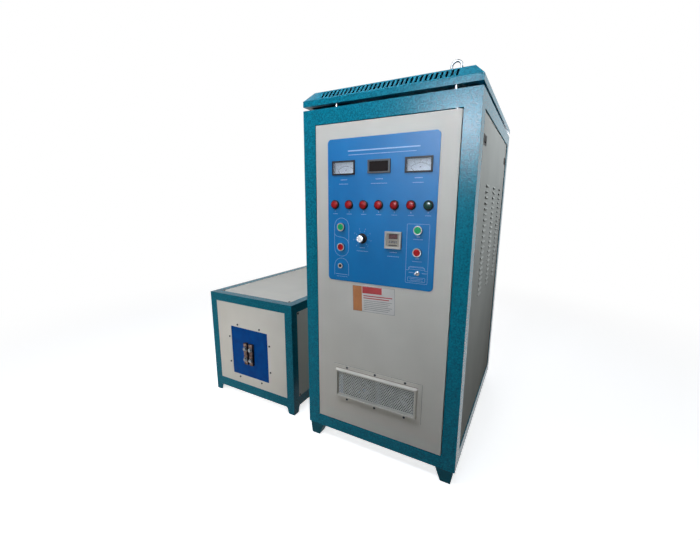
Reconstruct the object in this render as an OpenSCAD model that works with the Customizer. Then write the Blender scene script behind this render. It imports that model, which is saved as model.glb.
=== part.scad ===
// Induction heating machine: a power cabinet with a control door, and a transformer cabinet beside it.
// Front faces look along -Y, +X is to the right and +Z is up. The origin is on the floor,
// in the middle of the ground that both cabinets cover.

/* [Power cabinet] */
// Width of the power cabinet
cab_w = 600; // [560:5:700]
// Depth of the power cabinet, front face to back face
cab_d = 860; // [760:5:950]
// Height of the frame, without feet and cap
frame_h = 1217; // [1200:1:1400]
// Height of the feet
foot_h = 49; // [30:1:70]
// Width of a corner post, seen from the front
post_w = 49; // [42:1:56]
// Depth of a corner post, seen from the side
post_d = 60; // [50:1:75]
// Height of the top rail
top_rail = 50; // [40:1:60]
// Height of the bottom rail
bottom_rail = 46; // [40:1:60]
// Height of the top rail on the sides
side_top_rail = 45; // [38:1:60]
// Height of the bottom rail on the sides
side_bottom_rail = 48; // [40:1:60]
// Depth of a side rail, from the side face inwards
side_rail_d = 30; // [24:1:40]
// Sheet thickness of the frame
frame_t = 2.5; // [1.5:0.5:4]
// Size of a foot at its top
foot_top = 61; // [50:1:64]
// Size of a foot where it stands
foot_base = 36; // [25:1:45]
// Distance of a foot's outer edge from the frame's side face, at its top
foot_inset = 7; // [1:0.5:12]
// Width of a lifting beam under the roof
beam_w = 30; // [20:1:50]

/* [Roof cap] */
// Gap between the frame and the cap
cap_gap = 12; // [6:1:20]
// Height of the cap's upright lip
cap_lip = 19; // [12:1:30]
// Height of the sloped part above the lip
cap_rise = 32; // [20:1:45]
// Width of the sloped part
cap_slope = 30; // [20:1:45]
// Sheet thickness of the cap
cap_t = 2; // [1:0.5:3]
// Width of the cap's inner flange
cap_flange = 20; // [14:1:30]
// Number of vent slots in the front slope
slot_count = 31; // [9:2:33]
// Distance between two vent slots
slot_pitch = 15; // [12:0.5:16]
// Width of a vent slot
slot_w = 7; // [4:0.5:9]
// Height of a vent slot
slot_h = 23; // [12:1:26]
// Diameter of a standoff bolt under the cap
standoff_d = 7; // [6:1:14]
// Outer diameter of a lifting eye
eye_d = 38; // [34:1:54]
// Thickness of a lifting eye's ring
eye_t = 8; // [6:0.5:10]
// Distance of a lifting eye from the middle of the roof
eye_x = 205; // [150:5:230]
// Distance of a lifting eye from the nearer end face
eye_y = 88; // [80:1:120]

/* [Front door] */
// Gap between door and frame
door_gap = 3; // [2:0.5:4]
// Thickness of the door pan, with its folded edges
door_t = 18; // [14:1:24]
// Sheet thickness of the door, the panels and the covers
sheet_t = 2; // [1.5:0.5:3]
// Diameter of a hinge pin
pin_d = 8; // [6:0.5:10]
// Distance of the hinge pin from the door's edge
pin_inset = 15; // [14:0.5:20]
// Size of a hinge block in the door
hinge_block = 13; // [12:0.5:15]

/* [Control plate] */
// Width of the blue control plate
plate_w = 390; // [380:1:420]
// Height of the blue control plate
plate_h = 489; // [470:1:540]
// Thickness of the control plate
plate_t = 2; // [1:0.5:3]
// Corner radius of the control plate
plate_r = 14; // [4:1:25]
// Distance of the control plate's middle below the frame's top
plate_down = 348; // [330:1:370]

/* [Meters and display] */
// Width of a meter's frame
meter_w = 88; // [80:1:96]
// Height of a meter's frame
meter_h = 47; // [44:1:60]
// Width of a meter's window
meter_window_w = 77; // [70:1:79]
// Height of a meter's window
meter_window_h = 37; // [30:1:39]
// Radius of a meter's scale
scale_r = 46; // [40:1:50]
// Width of the display's frame
display_w = 80; // [70:1:90]
// Height of the display's frame
display_h = 43; // [38:1:50]
// Width of the display's window
display_window_w = 66; // [56:1:68]
// Height of the display's window
display_window_h = 32; // [24:1:34]

/* [Lamps and switches] */
// Number of pilot lamps
lamp_count = 7; // [3:1:7]
// Distance between two lamps
lamp_pitch = 55.6; // [40:0.1:58]
// Diameter of a lamp's or button's ring
ring_d = 29; // [27:0.5:32]
// Diameter of the panel hole for lamps and buttons
hole_d = 22; // [20:0.5:23]
// How far a push button travels
button_travel = 4; // [2:0.5:5]
// Diameter of the power knob's skirt
knob_d = 36; // [30:1:44]
// How far the knob stands out of the plate
knob_h = 22; // [16:1:30]
// Width of the timer's frame
timer_w = 57; // [54:1:64]
// Height of the timer's frame
timer_h = 56; // [54:1:64]
// Outer diameter of the foot switch socket
socket_d = 19; // [16:0.5:24]
// Bore of the foot switch socket
socket_bore = 12; // [9:0.5:13]
// Length of the toggle's lever
toggle_l = 14; // [10:0.5:20]
// Tilt of the toggle's lever at rest
toggle_tilt = 12; // [8:1:14]

/* [Intake grille and fans] */
// Width of the grille's frame
grille_w = 353; // [340:1:380]
// Height of the grille's frame
grille_h = 148; // [140:1:170]
// Width of the grille's opening
grille_open_w = 306; // [290:1:310]
// Height of the grille's opening
grille_open_h = 97; // [80:1:100]
// How far the grille's frame stands out of the door
grille_out = 14; // [8:1:20]
// Height of the grille's middle above the frame's bottom
grille_up = 219; // [200:1:240]
// Distance between the holes of the mesh
mesh_pitch = 9; // [9:1:20]
// Size of a mesh hole
mesh_hole = 6.5; // [5:0.5:7.5]
// Size of a fan's square housing
fan_size = 119; // [112:1:127]
// Thickness of a fan
fan_t = 38; // [25:1:38]
// Distance between the two fan axes
fan_pitch = 150; // [130:2:170]
// Number of blades of a fan
blade_count = 7; // [5:1:9]

/* [Side and rear panels] */
// How far the side panels lie behind the frame's side face
panel_recess = 4; // [4:0.5:8]
// Number of louvers in a column
louver_rows = 21; // [5:1:22]
// Distance between two louvers
louver_pitch = 19.5; // [16:0.5:21]
// Length of a louver
louver_l = 65; // [40:1:80]
// Height of a louver's slot
louver_h = 7; // [5:0.5:9]
// Distance between two louver columns
louver_column = 201; // [150:1:220]
// Length of a latch's housing
latch_l = 58; // [48:1:70]
// Height of a latch's housing
latch_h = 30; // [26:1:40]
// How far a latch slides down to free the panel
latch_travel = 6; // [3:0.5:8]
// Bore of a cable gland
gland_bore = 24; // [16:1:28]
// Diameter of a water fitting's outer stub
fitting_d = 21; // [16:0.5:26]
// Length of a water fitting's outer stub
fitting_l = 20; // [14:1:30]
// Bore of a water fitting
fitting_bore = 12; // [8:0.5:13]

/* [Inside the power cabinet] */
// Distance of the mounting plate behind the front face
mount_y = 430; // [380:5:500]
// Width of the mounting plate
mount_w = 480; // [460:5:500]
// Height of the mounting plate
mount_h = 1040; // [1000:10:1080]
// Width of the water cooled plate
cooler_w = 240; // [220:5:260]
// Height of the water cooled plate
cooler_h = 440; // [420:5:480]
// Thickness of the water cooled plate
cooler_t = 16; // [14:1:24]
// Diameter of a film capacitor
cap_can_d = 84; // [60:1:90]
// Height of a film capacitor
cap_can_h = 110; // [80:5:120]

/* [Transformer cabinet] */
// Width of the transformer cabinet
tr_w = 500; // [460:5:560]
// Depth of the transformer cabinet
tr_d = 800; // [720:5:880]
// Height of the transformer cabinet, with its legs
tr_h = 519; // [480:1:560]
// Free height under the transformer cabinet
tr_leg = 31; // [24:1:40]
// Width of the transformer frame's edges
tr_edge = 39; // [36:1:48]
// Gap between the two cabinets
cab_space = 120; // [80:5:300]
// How far the transformer cabinet's front lies behind the power cabinet's
tr_back = 48; // [0:2:60]
// Width of the blue terminal board that shows
board_w = 229; // [200:1:260]
// Height of the blue terminal board that shows
board_h = 244; // [200:1:260]
// Width of a copper output terminal
bar_w = 20; // [14:1:26]
// Height of a copper output terminal
bar_h = 107; // [96:1:130]
// Thickness of a copper output terminal
bar_t = 12; // [8:1:16]
// Distance between the two output terminals
bar_pitch = 33; // [30:1:50]
// Diameter of a terminal bolt
bolt_d = 10; // [8:0.5:12]
// Distance between the two bolts of one terminal
bolt_pitch = 53; // [40:1:70]

/* [Hidden] */
$fn = 48;

// Clearances and overruns
cut = 1;            // overrun of every cut
slip = 0.3;         // gap between a moving piece and its guide
pin_slip = 0.05;    // radial gap of a pin in its bush
seat_slip = 0.2;    // gap round a piece that sits in a cut-out

// Colours
teal = "#16849c";
dark_teal = "#0d4f60";
off_white = "#cfd0cc";
black = "#1b1c1e";
copper = "#b8703f";
steel = "#b9bcbd";

// Screws, one size for all covers
screw_head_d = 9;
screw_head_h = 2.5;
screw_d = 4.4;
screw_hole_d = 5;

// Places along the control door, from the middle of the plate
plate_x = -3;
meter_x = 132;
meter_z = 149.5;
display_x = 0;
lamp_z = 26.7;
lamp_x = 1.5;
button_left_x = -139;
button_right_x = 140;
green_z = -50.5;
red_z = -121;
socket_x = -141.6;
switch_z = -189;
toggle_x = 142;
knob_x = -57.7;
knob_z = -87;
timer_x = 57;
timer_z = -86.5;

// Power cabinet levels
frame_bottom = foot_h;
frame_top = foot_h + frame_h;
opening_bottom = frame_bottom + bottom_rail;
opening_top = frame_top - top_rail;
panel_bottom = frame_bottom + side_bottom_rail;
panel_top = frame_top - side_top_rail;
door_bottom = opening_bottom + door_gap;
door_top = opening_top - door_gap;
door_right = cab_w / 2 - post_w - door_gap;
plate_z = frame_top - plate_down;
grille_z = frame_bottom + grille_up;
cap_bottom = frame_top + cap_gap;
cap_fold = cap_bottom + cap_lip;
cap_top = cap_fold + cap_rise;
face_y = -plate_t;

// Rear panel and the fittings that pass through it
rear_lap = 18;
rear_face = cab_d + sheet_t;
gland_hex = 40;
gland_hex_h = 9;
gland_dome_d = 34;
gland_dome_h = 17;
gland_thread_d = 32;
gland_nut_h = 6;
gland_pitch = 90;
gland_up = 320;
fitting_hex = 30;
fitting_hex_h = 10;
fitting_inner_l = 12;
fitting_pitch = 110;
fitting_up = 170;

// Transformer cabinet levels
tr_wall = 4;
tr_pocket = 2.2;
tr_lip = 14;
tr_cover_t = 1.5;
tr_rail_h = 45;
tr_bottom_rail = tr_leg + tr_rail_h;
tr_leg_w = 40;
tr_leg_slant = 6;
tr_leg_corner = 4;
tr_mid_z = 242;
tr_rear_face = tr_d - tr_pocket + tr_cover_t;
bolt_head_w = 17;
bolt_head_h = 6.5;
bolt_floor = 1.5;
bolt_l = bar_t - bolt_floor;
washer_h = 2;

// Whole object, centred on the ground that it covers
terminal_out = bar_t - tr_pocket + washer_h + bolt_head_h;
front_reach = max(plate_t + knob_h, grille_out, terminal_out - tr_back);
rear_reach = max(rear_face, tr_rear_face + tr_back) + fitting_hex_h + fitting_l;
side_reach = tr_cover_t - tr_pocket + screw_head_h;
total_w = side_reach + tr_w + cab_space + cab_w;
cab_x = total_w / 2 - cab_w / 2;
tr_x = -total_w / 2 + side_reach + tr_w / 2;
cab_y = -(rear_reach - front_reach) / 2;
tr_y = cab_y + tr_back;

module span(a, b) { translate(a) cube(b - a); }
module rod_y(d, y0, y1) { translate([0, y0, 0]) rotate([-90, 0, 0]) cylinder(d = d, h = y1 - y0); }
module rod_z(d, z0, z1) { translate([0, 0, z0]) cylinder(d = d, h = z1 - z0); }
module rod_x(d, x0, x1) { translate([x0, 0, 0]) rotate([0, 90, 0]) cylinder(d = d, h = x1 - x0); }
module tube_y(d, bore, y0, y1) {
  difference() {
    rod_y(d, y0, y1);
    rod_y(bore, y0 - cut, y1 + cut);
  }
}
// A shape drawn in X and Z, made solid from y0 to y1
module slab_y(y0, y1) { translate([0, y1, 0]) rotate([90, 0, 0]) linear_extrude(y1 - y0) children(); }
// A shape drawn in Y and Z, made solid from x0 to x1
module slab_x(x0, x1) { translate([x0, 0, 0]) rotate([90, 0, 90]) linear_extrude(x1 - x0) children(); }
module box_y(w, h, y0, y1) { span([-w / 2, y0, -h / 2], [w / 2, y1, h / 2]); }
module rounded(w, h, r) {
  square([w - 2 * r, h], center = true);
  square([w, h - 2 * r], center = true);
  for (x = [-1, 1], z = [-1, 1]) translate([x * (w / 2 - r), z * (h / 2 - r)]) circle(r);
}
module mirrored_x() {
  children();
  mirror([1, 0, 0]) children();
}
module at_cabinet() { translate([cab_x, cab_y, 0]) children(); }
module at_transformer() { translate([tr_x, tr_y, 0]) children(); }
// Origin on the door's front face, at a place counted from the middle of the control plate
module on_plate(x, z) { translate([cab_x + plate_x + x, cab_y, plate_z + z]) children(); }
module on_grille() { translate([cab_x + plate_x, cab_y, grille_z]) children(); }

// Frame of the power cabinet: folded channels, open to the inside
module channel_ring() {
  ring_t = post_w - 2 * frame_t;
  difference() {
    span([-cab_w / 2, 0, frame_bottom], [cab_w / 2, post_d, frame_top]);
    span([-cab_w / 2 + post_w, -cut, opening_bottom], [cab_w / 2 - post_w, post_d + cut, opening_top]);
    difference() {
      span([-cab_w / 2 + frame_t, frame_t, frame_bottom + frame_t],
        [cab_w / 2 - frame_t, post_d + cut, frame_top - frame_t]);
      span([-cab_w / 2 + frame_t + ring_t, 0, opening_bottom - frame_t],
        [cab_w / 2 - frame_t - ring_t, post_d + 2 * cut, opening_top + frame_t]);
    }
  }
}
stop_w = 12;
module front_frame() {
  color(teal) at_cabinet() {
    difference() {
      channel_ring();
      for (z = [opening_bottom - frame_t - cut, opening_top - cut])
        translate([door_right - pin_inset, door_t / 2, 0])
          rod_z(pin_d + 2 * pin_slip, z, z + frame_t + 2 * cut);
    }
    span([-cab_w / 2 + post_w, door_t + slip, opening_bottom],
      [-cab_w / 2 + post_w + stop_w, door_t + slip + frame_t, opening_top]);
  }
}
module side_rail(z0, z1) {
  difference() {
    span([cab_w / 2 - side_rail_d, post_d, z0], [cab_w / 2, cab_d - post_d, z1]);
    span([cab_w / 2 - side_rail_d - cut, post_d - cut, z0 + frame_t],
      [cab_w / 2 - frame_t, cab_d - post_d + cut, z1 - frame_t]);
  }
}
beam_h = side_top_rail - 3 * frame_t;
module lifting_beam(y) {
  difference() {
    span([-cab_w / 2 + frame_t, y - beam_w / 2, frame_top - frame_t - beam_h],
      [cab_w / 2 - frame_t, y + beam_w / 2, frame_top - frame_t]);
    span([-cab_w / 2, y - beam_w / 2 + frame_t, frame_top - 2 * frame_t - beam_h],
      [cab_w / 2, y + beam_w / 2 - frame_t, frame_top - 2 * frame_t]);
    for (x = [-eye_x, eye_x]) translate([x, y, 0])
      rod_z(eye_bolt_d, frame_top - 2 * frame_t - cut, frame_top);
  }
}
module rear_frame() {
  color(teal) at_cabinet() {
    translate([0, cab_d, 0]) mirror([0, 1, 0]) channel_ring();
    mirrored_x() {
      side_rail(frame_bottom, panel_bottom);
      side_rail(panel_top, frame_top);
    }
    lifting_beam(eye_y);
    lifting_beam(cab_d - eye_y);
  }
}
foot_slope = 6;
module foot_outline(inset, slope) {
  polygon([[inset + slope, 0], [inset + slope + foot_base, 0], [inset + foot_top, foot_h], [inset, foot_h]]);
}
module cabinet_feet() {
  color(dark_teal) at_cabinet() for (side = [0, 1], end = [0, 1])
    mirror([side, 0, 0]) translate([0, end * cab_d, 0]) mirror([0, end, 0]) translate([-cab_w / 2, 0, 0])
      intersection() {
        slab_y(0, foot_top) foot_outline(foot_inset, foot_slope);
        slab_x(0, foot_inset + foot_top) foot_outline(0, 0);
      }
}

// Roof cap: an upright lip, a slope on all four sides and a flat top
module cap_outline(l, t, z0) {
  polygon([[t, z0], [t, cap_fold], [cap_slope + t / 2, cap_top - t], [l - cap_slope - t / 2, cap_top - t],
    [l - t, cap_fold], [l - t, z0]]);
}
module cap_solid(t, z0) {
  intersection() {
    slab_y(t, cab_d - t) translate([-cab_w / 2, 0]) cap_outline(cab_w, t, z0);
    slab_x(-cab_w / 2 + t, cab_w / 2 - t) cap_outline(cab_d, t, z0);
  }
}
module vent_slots() {
  for (i = [0 : slot_count - 1])
    translate([(i - (slot_count - 1) / 2) * slot_pitch, 0, (cap_fold + cap_top) / 2])
      box_y(slot_w, slot_h, -cut, cap_slope);
}
eye_bolt_d = 10;
eye_base_d = 24;
eye_base_h = 12;
module at_eyes() {
  for (s = [-1, 1]) translate([-s * eye_x, cab_d / 2 + s * (cab_d / 2 - eye_y), 0]) children();
}
module roof_cap() {
  color(teal) at_cabinet() {
    difference() {
      cap_solid(0, cap_bottom);
      cap_solid(cap_t, cap_bottom - cut);
      vent_slots();
      translate([0, cab_d, 0]) mirror([0, 1, 0]) vent_slots();
      at_eyes() rod_z(eye_bolt_d + 2 * seat_slip, cap_top - cap_t - cut, cap_top + cut);
    }
    difference() {
      span([-cab_w / 2 + cap_t, cap_t, cap_bottom], [cab_w / 2 - cap_t, cab_d - cap_t, cap_bottom + cap_t]);
      span([-cab_w / 2 + cap_flange, cap_flange, cap_bottom - cut],
        [cab_w / 2 - cap_flange, cab_d - cap_flange, cap_bottom + cap_t + cut]);
    }
  }
}
// The two places are those of the bright bolts in the gap under the cap
standoff_left = -168;
standoff_right = 225;
standoff_y = 9;
module roof_standoffs() {
  color(steel) at_cabinet() for (x = [standoff_left, standoff_right], y = [standoff_y, cab_d - standoff_y])
    translate([x, y, 0]) rod_z(standoff_d, frame_top, cap_bottom);
}
module lifting_eyes() {
  color(steel) at_cabinet() at_eyes() {
    rod_z(eye_base_d, cap_top, cap_top + eye_base_h);
    rod_z(eye_bolt_d - 2 * pin_slip, frame_top - 3 * frame_t, cap_top);
    translate([0, 0, cap_top + eye_base_h / 2 + eye_d / 2]) rotate([90, 0, 0])
      rotate_extrude() translate([eye_d / 2 - eye_t / 2, 0]) circle(d = eye_t, $fn = 24);
  }
}

// Floors, rear panel and side panels
pan_lap = 10;
module floor_pans() {
  color(steel) {
    at_cabinet() span([-cab_w / 2 + side_rail_d - pan_lap, post_d, panel_bottom],
      [cab_w / 2 - side_rail_d + pan_lap, cab_d - post_d, panel_bottom + sheet_t]);
    at_transformer() span([-tr_w / 2 + tr_wall, tr_wall, tr_leg + tr_wall],
      [tr_w / 2 - tr_wall, tr_d - tr_wall, tr_leg + tr_wall + sheet_t]);
  }
}
rear_w = cab_w - 2 * post_w + 2 * rear_lap;
rear_h = opening_top - opening_bottom + 2 * rear_lap;
rear_mid = (opening_top + opening_bottom) / 2;
module at_rear_screws() {
  for (x = [-1, 1], z = [-1, 0, 1])
    translate([x * (rear_w - rear_lap) / 2, 0, rear_mid + z * (rear_h - rear_lap) / 2]) children();
}
module at_glands() {
  for (i = [-1 : 1]) translate([i * gland_pitch, 0, frame_bottom + gland_up]) children();
}
module at_fittings(up) { for (i = [-1, 1]) translate([i * fitting_pitch / 2, 0, up]) children(); }
module rear_panel() {
  color(off_white) at_cabinet() difference() {
    translate([0, 0, rear_mid]) box_y(rear_w, rear_h, cab_d, rear_face);
    at_rear_screws() rod_y(screw_hole_d, cab_d - cut, rear_face + cut);
    at_glands() rod_y(gland_thread_d + 2 * seat_slip, cab_d - cut, rear_face + cut);
    at_fittings(frame_bottom + fitting_up) rod_y(fitting_d + 2 * seat_slip, cab_d - cut, rear_face + cut);
  }
}
panel_x = cab_w / 2 - panel_recess;
panel_gap = 1.5;
panel_fold = 14;
louver_down = 210;
louver_top = panel_top - louver_down;
louver_mid = 458;
louver_t = 1;
latch_front = 62;
latch_rear = 36;
latch_down = 78;
latch_z = panel_top - latch_down;
latch_places = [post_d + latch_front, cab_d - post_d - latch_rear];
module at_louver_columns() {
  for (i = [-1 : 1]) translate([0, louver_mid + i * louver_column, 0]) children();
}
module louver_blades() {
  for (i = [0 : louver_rows - 1]) translate([panel_x, louver_top - i * louver_pitch])
    polygon([[0, louver_h / 2], [0, louver_h / 2 + louver_t], [panel_recess, -louver_h / 2 + louver_t],
      [panel_recess, -louver_h / 2]]);
}
module panel_outline() {
  difference() {
    translate([post_d + panel_gap, panel_bottom])
      square([cab_d - 2 * post_d - 2 * panel_gap, panel_top - panel_bottom - panel_gap]);
    for (i = [-1 : 1], j = [0 : louver_rows - 1])
      translate([louver_mid + i * louver_column, louver_top - j * louver_pitch])
        square([louver_l, louver_h], center = true);
    for (y = latch_places) translate([y, latch_z])
      square([latch_l - 2 * latch_rim, latch_h - 2 * latch_rim], center = true);
  }
}
module side_panel() {
  slab_x(panel_x - sheet_t, panel_x) panel_outline();
  at_louver_columns() slab_y(-louver_l / 2, louver_l / 2) louver_blades();
  for (y = [post_d + panel_gap, cab_d - post_d - panel_gap - sheet_t])
    span([panel_x - panel_fold, y, panel_bottom], [panel_x - sheet_t, y + sheet_t, panel_top - panel_gap]);
}
module right_side_panel() { color(off_white) at_cabinet() side_panel(); }
module left_side_panel() { color(off_white) at_cabinet() mirror([1, 0, 0]) side_panel(); }

// Flush slide latches near the top corners of the side panels
latch_rim = 3;
latch_face = 1.5;
latch_depth = 14;
latch_floor = 7;
slider_l = 36;
slider_h = 12;
slider_t = 5;
slider_rib = 1.4;
module at_latches() { for (y = latch_places) translate([0, y, latch_z]) children(); }
module latch_housing() {
  body_l = latch_l - 2 * latch_rim - 2 * seat_slip;
  body_h = latch_h - 2 * latch_rim - 2 * seat_slip;
  difference() {
    union() {
      slab_x(panel_x, panel_x + latch_face) square([latch_l, latch_h], center = true);
      slab_x(panel_x - latch_depth, panel_x) square([body_l, body_h], center = true);
    }
    slab_x(panel_x + latch_face - latch_floor, panel_x + latch_face + cut)
      square([slider_l + 2 * slip, slider_h + latch_travel + 2 * slip], center = true);
  }
}
module latch_housings() { color(black) at_cabinet() mirrored_x() at_latches() latch_housing(); }
module latch_slider() {
  x0 = panel_x + latch_face - latch_floor + slip;
  translate([0, 0, latch_travel / 2]) {
    slab_x(x0, x0 + slider_t) square([slider_l, slider_h], center = true);
    for (i = [-1 : 1]) translate([0, 0, i * slider_h / 3])
      slab_x(x0 + slider_t, x0 + slider_t + slider_rib) square([slider_l, slider_h / 6], center = true);
  }
}
module right_latches() { color(black) at_cabinet() at_latches() latch_slider(); }
module left_latches() { color(black) at_cabinet() mirror([1, 0, 0]) at_latches() latch_slider(); }

// Door: a folded pan on two hidden pins, with cut-outs for what it carries
washer_d = 14;
pin_l = 12;
block_l = 16;
meter_rim = 2;
meter_hole_w = meter_w - 2 * meter_rim;
meter_hole_h = meter_h - 2 * meter_rim;
display_rim = 2.5;
display_hole_w = display_w - 2 * display_rim;
display_hole_h = display_h - 2 * display_rim;
timer_body = 48;
pot_bush_d = 9;
toggle_bush_d = 11;
module hinge_pins() {
  color(steel) at_cabinet() translate([door_right - pin_inset, door_t / 2, 0]) {
    rod_z(pin_d, door_top - pin_l, opening_top + frame_t);
    rod_z(washer_d, door_top + slip, opening_top);
    rod_z(pin_d, opening_bottom - frame_t, door_bottom + pin_l);
    rod_z(washer_d, opening_bottom, door_bottom - slip);
  }
}
// All holes that door and control plate share
module plate_holes(y0, y1) {
  for (s = [-1, 1]) on_plate(s * meter_x, meter_z) box_y(meter_hole_w, meter_hole_h, y0, y1);
  on_plate(display_x, meter_z) box_y(display_hole_w, display_hole_h, y0, y1);
  on_plate(timer_x, timer_z) box_y(timer_body, timer_body, y0, y1);
  at_lamps() rod_y(hole_d, y0, y1);
  at_buttons() rod_y(hole_d, y0, y1);
  on_plate(knob_x, knob_z) rod_y(pot_bush_d, y0, y1);
  on_plate(toggle_x, switch_z) rod_y(toggle_bush_d, y0, y1);
  on_plate(socket_x, switch_z) rod_y(socket_d - 2 * socket_rim, y0, y1);
}
module at_hinge_blocks() {
  for (z = [door_bottom, door_top - block_l]) translate([door_right - pin_inset, door_t / 2, z]) children();
}
module front_door() {
  color(off_white) difference() {
    union() {
      at_cabinet() difference() {
        span([-door_right, 0, door_bottom], [door_right, door_t, door_top]);
        span([-door_right + sheet_t, sheet_t, door_bottom + sheet_t],
          [door_right - sheet_t, door_t + cut, door_top - sheet_t]);
      }
      at_cabinet() at_hinge_blocks()
        span([-hinge_block / 2, -door_t / 2 + sheet_t, 0], [pin_inset - sheet_t, hinge_block / 2, block_l]);
    }
    at_cabinet() at_hinge_blocks() rod_z(pin_d + 2 * pin_slip, -cut, block_l + cut);
    plate_holes(-cut, sheet_t + cut);
    on_grille() box_y(grille_open_w, grille_open_h, -cut, sheet_t + cut);
    on_grille() at_grille_screws() rod_y(screw_hole_d, -cut, sheet_t + cut);
  }
}
module control_plate() {
  color("#1d74b8") difference() {
    on_plate(0, 0) slab_y(face_y, 0) rounded(plate_w, plate_h, plate_r);
    plate_holes(face_y - cut, cut);
  }
}

// Meters: the case hangs below its window behind the door, so that the needle's pivot is hidden
meter_out = 4;
meter_case_w = 94;
meter_case_up = 24;
meter_case_down = 62;
meter_case_d = 38;
meter_wall = 3;
dial_y = 15;
dial_t = 1;
pivot_z = -40;
needle_w = 1.2;
needle_t = 0.6;
needle_y = 11;
needle_hub_d = 7;
needle_rest = 42;
needle_l = scale_r - 3;
module meter_housing() {
  difference() {
    union() {
      box_y(meter_w, meter_h, face_y - meter_out, face_y);
      box_y(meter_hole_w - 2 * seat_slip, meter_hole_h - 2 * seat_slip, face_y, sheet_t - seat_slip);
    }
    box_y(meter_window_w, meter_window_h, face_y - meter_out - cut, sheet_t + cut);
  }
  difference() {
    span([-meter_case_w / 2, sheet_t, -meter_case_down], [meter_case_w / 2, meter_case_d, meter_case_up]);
    box_y(meter_window_w, meter_window_h, sheet_t - cut, sheet_t + meter_wall + cut);
    span([-meter_case_w / 2 + meter_wall, sheet_t + meter_wall, -meter_case_down + meter_wall],
      [meter_case_w / 2 - meter_wall, dial_y + dial_t, meter_case_up - meter_wall]);
  }
}
module meter_housings() { color(black) for (s = [-1, 1]) on_plate(s * meter_x, meter_z) meter_housing(); }
module meter_dials() {
  color("white") for (s = [-1, 1]) on_plate(s * meter_x, meter_z)
    span([-meter_case_w / 2 + meter_wall + seat_slip, dial_y, -meter_case_down + meter_wall + seat_slip],
      [meter_case_w / 2 - meter_wall - seat_slip, dial_y + dial_t, meter_case_up - meter_wall - seat_slip]);
}
module needle() {
  translate([0, 0, pivot_z]) {
    rod_y(needle_hub_d, needle_y - needle_t, dial_y - slip);
    rotate([0, -needle_rest, 0])
      span([-needle_w / 2, needle_y - needle_t, 0], [needle_w / 2, needle_y, needle_l]);
  }
}
module left_needle() { color(black) on_plate(-meter_x, meter_z) needle(); }
module right_needle() { color(black) on_plate(meter_x, meter_z) needle(); }
window_t = 1.5;
window_sink = 0.8;
module meter_windows() {
  color([0.8, 0.9, 0.95, 0.4]) for (s = [-1, 1]) on_plate(s * meter_x, meter_z)
    box_y(meter_window_w - 2 * seat_slip, meter_window_h - 2 * seat_slip,
      face_y - meter_out + window_sink, face_y - meter_out + window_sink + window_t);
}

// Digital display and timer
display_out = 5;
display_depth = 48;
display_well = 8;
timer_out = 9;
timer_depth = 62;
timer_rim = 6;
timer_well = 4;
timer_window_w = 31;
timer_window_h = 17;
timer_window_up = 12;
digit_count = 4;
digit_pitch = 8;
digit_w = 5.5;
digit_h = 7;
digit_down = 6;
digit_well = 2;
module display_housing() {
  color("#43484b") on_plate(display_x, meter_z) difference() {
    union() {
      box_y(display_w, display_h, face_y - display_out, face_y);
      box_y(display_hole_w - 2 * seat_slip, display_hole_h - 2 * seat_slip, face_y, display_depth);
    }
    box_y(display_window_w, display_window_h, face_y - display_out - cut,
      face_y - display_out + display_well);
  }
}
module timer_housing() {
  color("#d9d4c4") on_plate(timer_x, timer_z) difference() {
    union() {
      box_y(timer_w, timer_h, face_y - timer_out, face_y);
      box_y(timer_body - 2 * seat_slip, timer_body - 2 * seat_slip, face_y, timer_depth);
    }
    box_y(timer_w - 2 * timer_rim, timer_h - 2 * timer_rim, face_y - timer_out - cut,
      face_y - timer_out + timer_well);
    translate([0, 0, timer_window_up]) box_y(timer_window_w, timer_window_h, face_y - timer_out,
      face_y - timer_out + timer_well + window_t);
    for (i = [0 : digit_count - 1]) translate([(i - (digit_count - 1) / 2) * digit_pitch, 0, -digit_down])
      box_y(digit_w, digit_h, face_y - timer_out, face_y - timer_out + timer_well + digit_well);
  }
}
module readout_windows() {
  color("#2a0d10") {
    on_plate(display_x, meter_z) box_y(display_window_w - 2 * seat_slip, display_window_h - 2 * seat_slip,
      face_y - display_out + window_sink, face_y - display_out + window_sink + window_t);
    on_plate(timer_x, timer_z + timer_window_up)
      box_y(timer_window_w - 2 * seat_slip, timer_window_h - 2 * seat_slip,
        face_y - timer_out + timer_well, face_y - timer_out + timer_well + window_t);
  }
}

// Pilot lamps and push buttons, one panel hole size
ring_h = 5;
barrel_d = hole_d - 2 * seat_slip;
barrel_l = 34;
nut_d = ring_d;
nut_h = 5;
lens_d = 25;
lens_h = 5;
lens_dome = 2;
bezel_h = 10;
bezel_wall = 3.4;
bezel_floor = 2;
cap_d = ring_d - 2 * bezel_wall - 2 * slip;
cap_h = 9;
cap_out = 1;
stem_d = 12;
barrel_bore = stem_d + 2 * slip;
module at_lamp(i) { on_plate(lamp_x + (i - (lamp_count - 1) / 2) * lamp_pitch, lamp_z) children(); }
module at_lamps() { for (i = [0 : lamp_count - 1]) at_lamp(i) children(); }
module at_buttons() {
  for (x = [button_left_x, button_right_x], z = [green_z, red_z]) on_plate(x, z) children();
}
module lamp_bodies() {
  color(black) at_lamps() {
    rod_y(ring_d, face_y - ring_h, face_y);
    rod_y(barrel_d, face_y, barrel_l);
    tube_y(nut_d, hole_d, sheet_t, sheet_t + nut_h);
  }
}
module lens() {
  translate([0, face_y - ring_h, 0]) rotate([90, 0, 0]) rotate_extrude()
    polygon([[0, 0], [lens_d / 2, 0], [lens_d / 2, lens_h - lens_dome],
      [lens_d / 2 - lens_dome, lens_h], [0, lens_h]]);
}
module red_lenses() { color("#b01818") for (i = [0 : lamp_count - 2]) at_lamp(i) lens(); }
module green_lens() { color("#0f4a2c") at_lamp(lamp_count - 1) lens(); }
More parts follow.
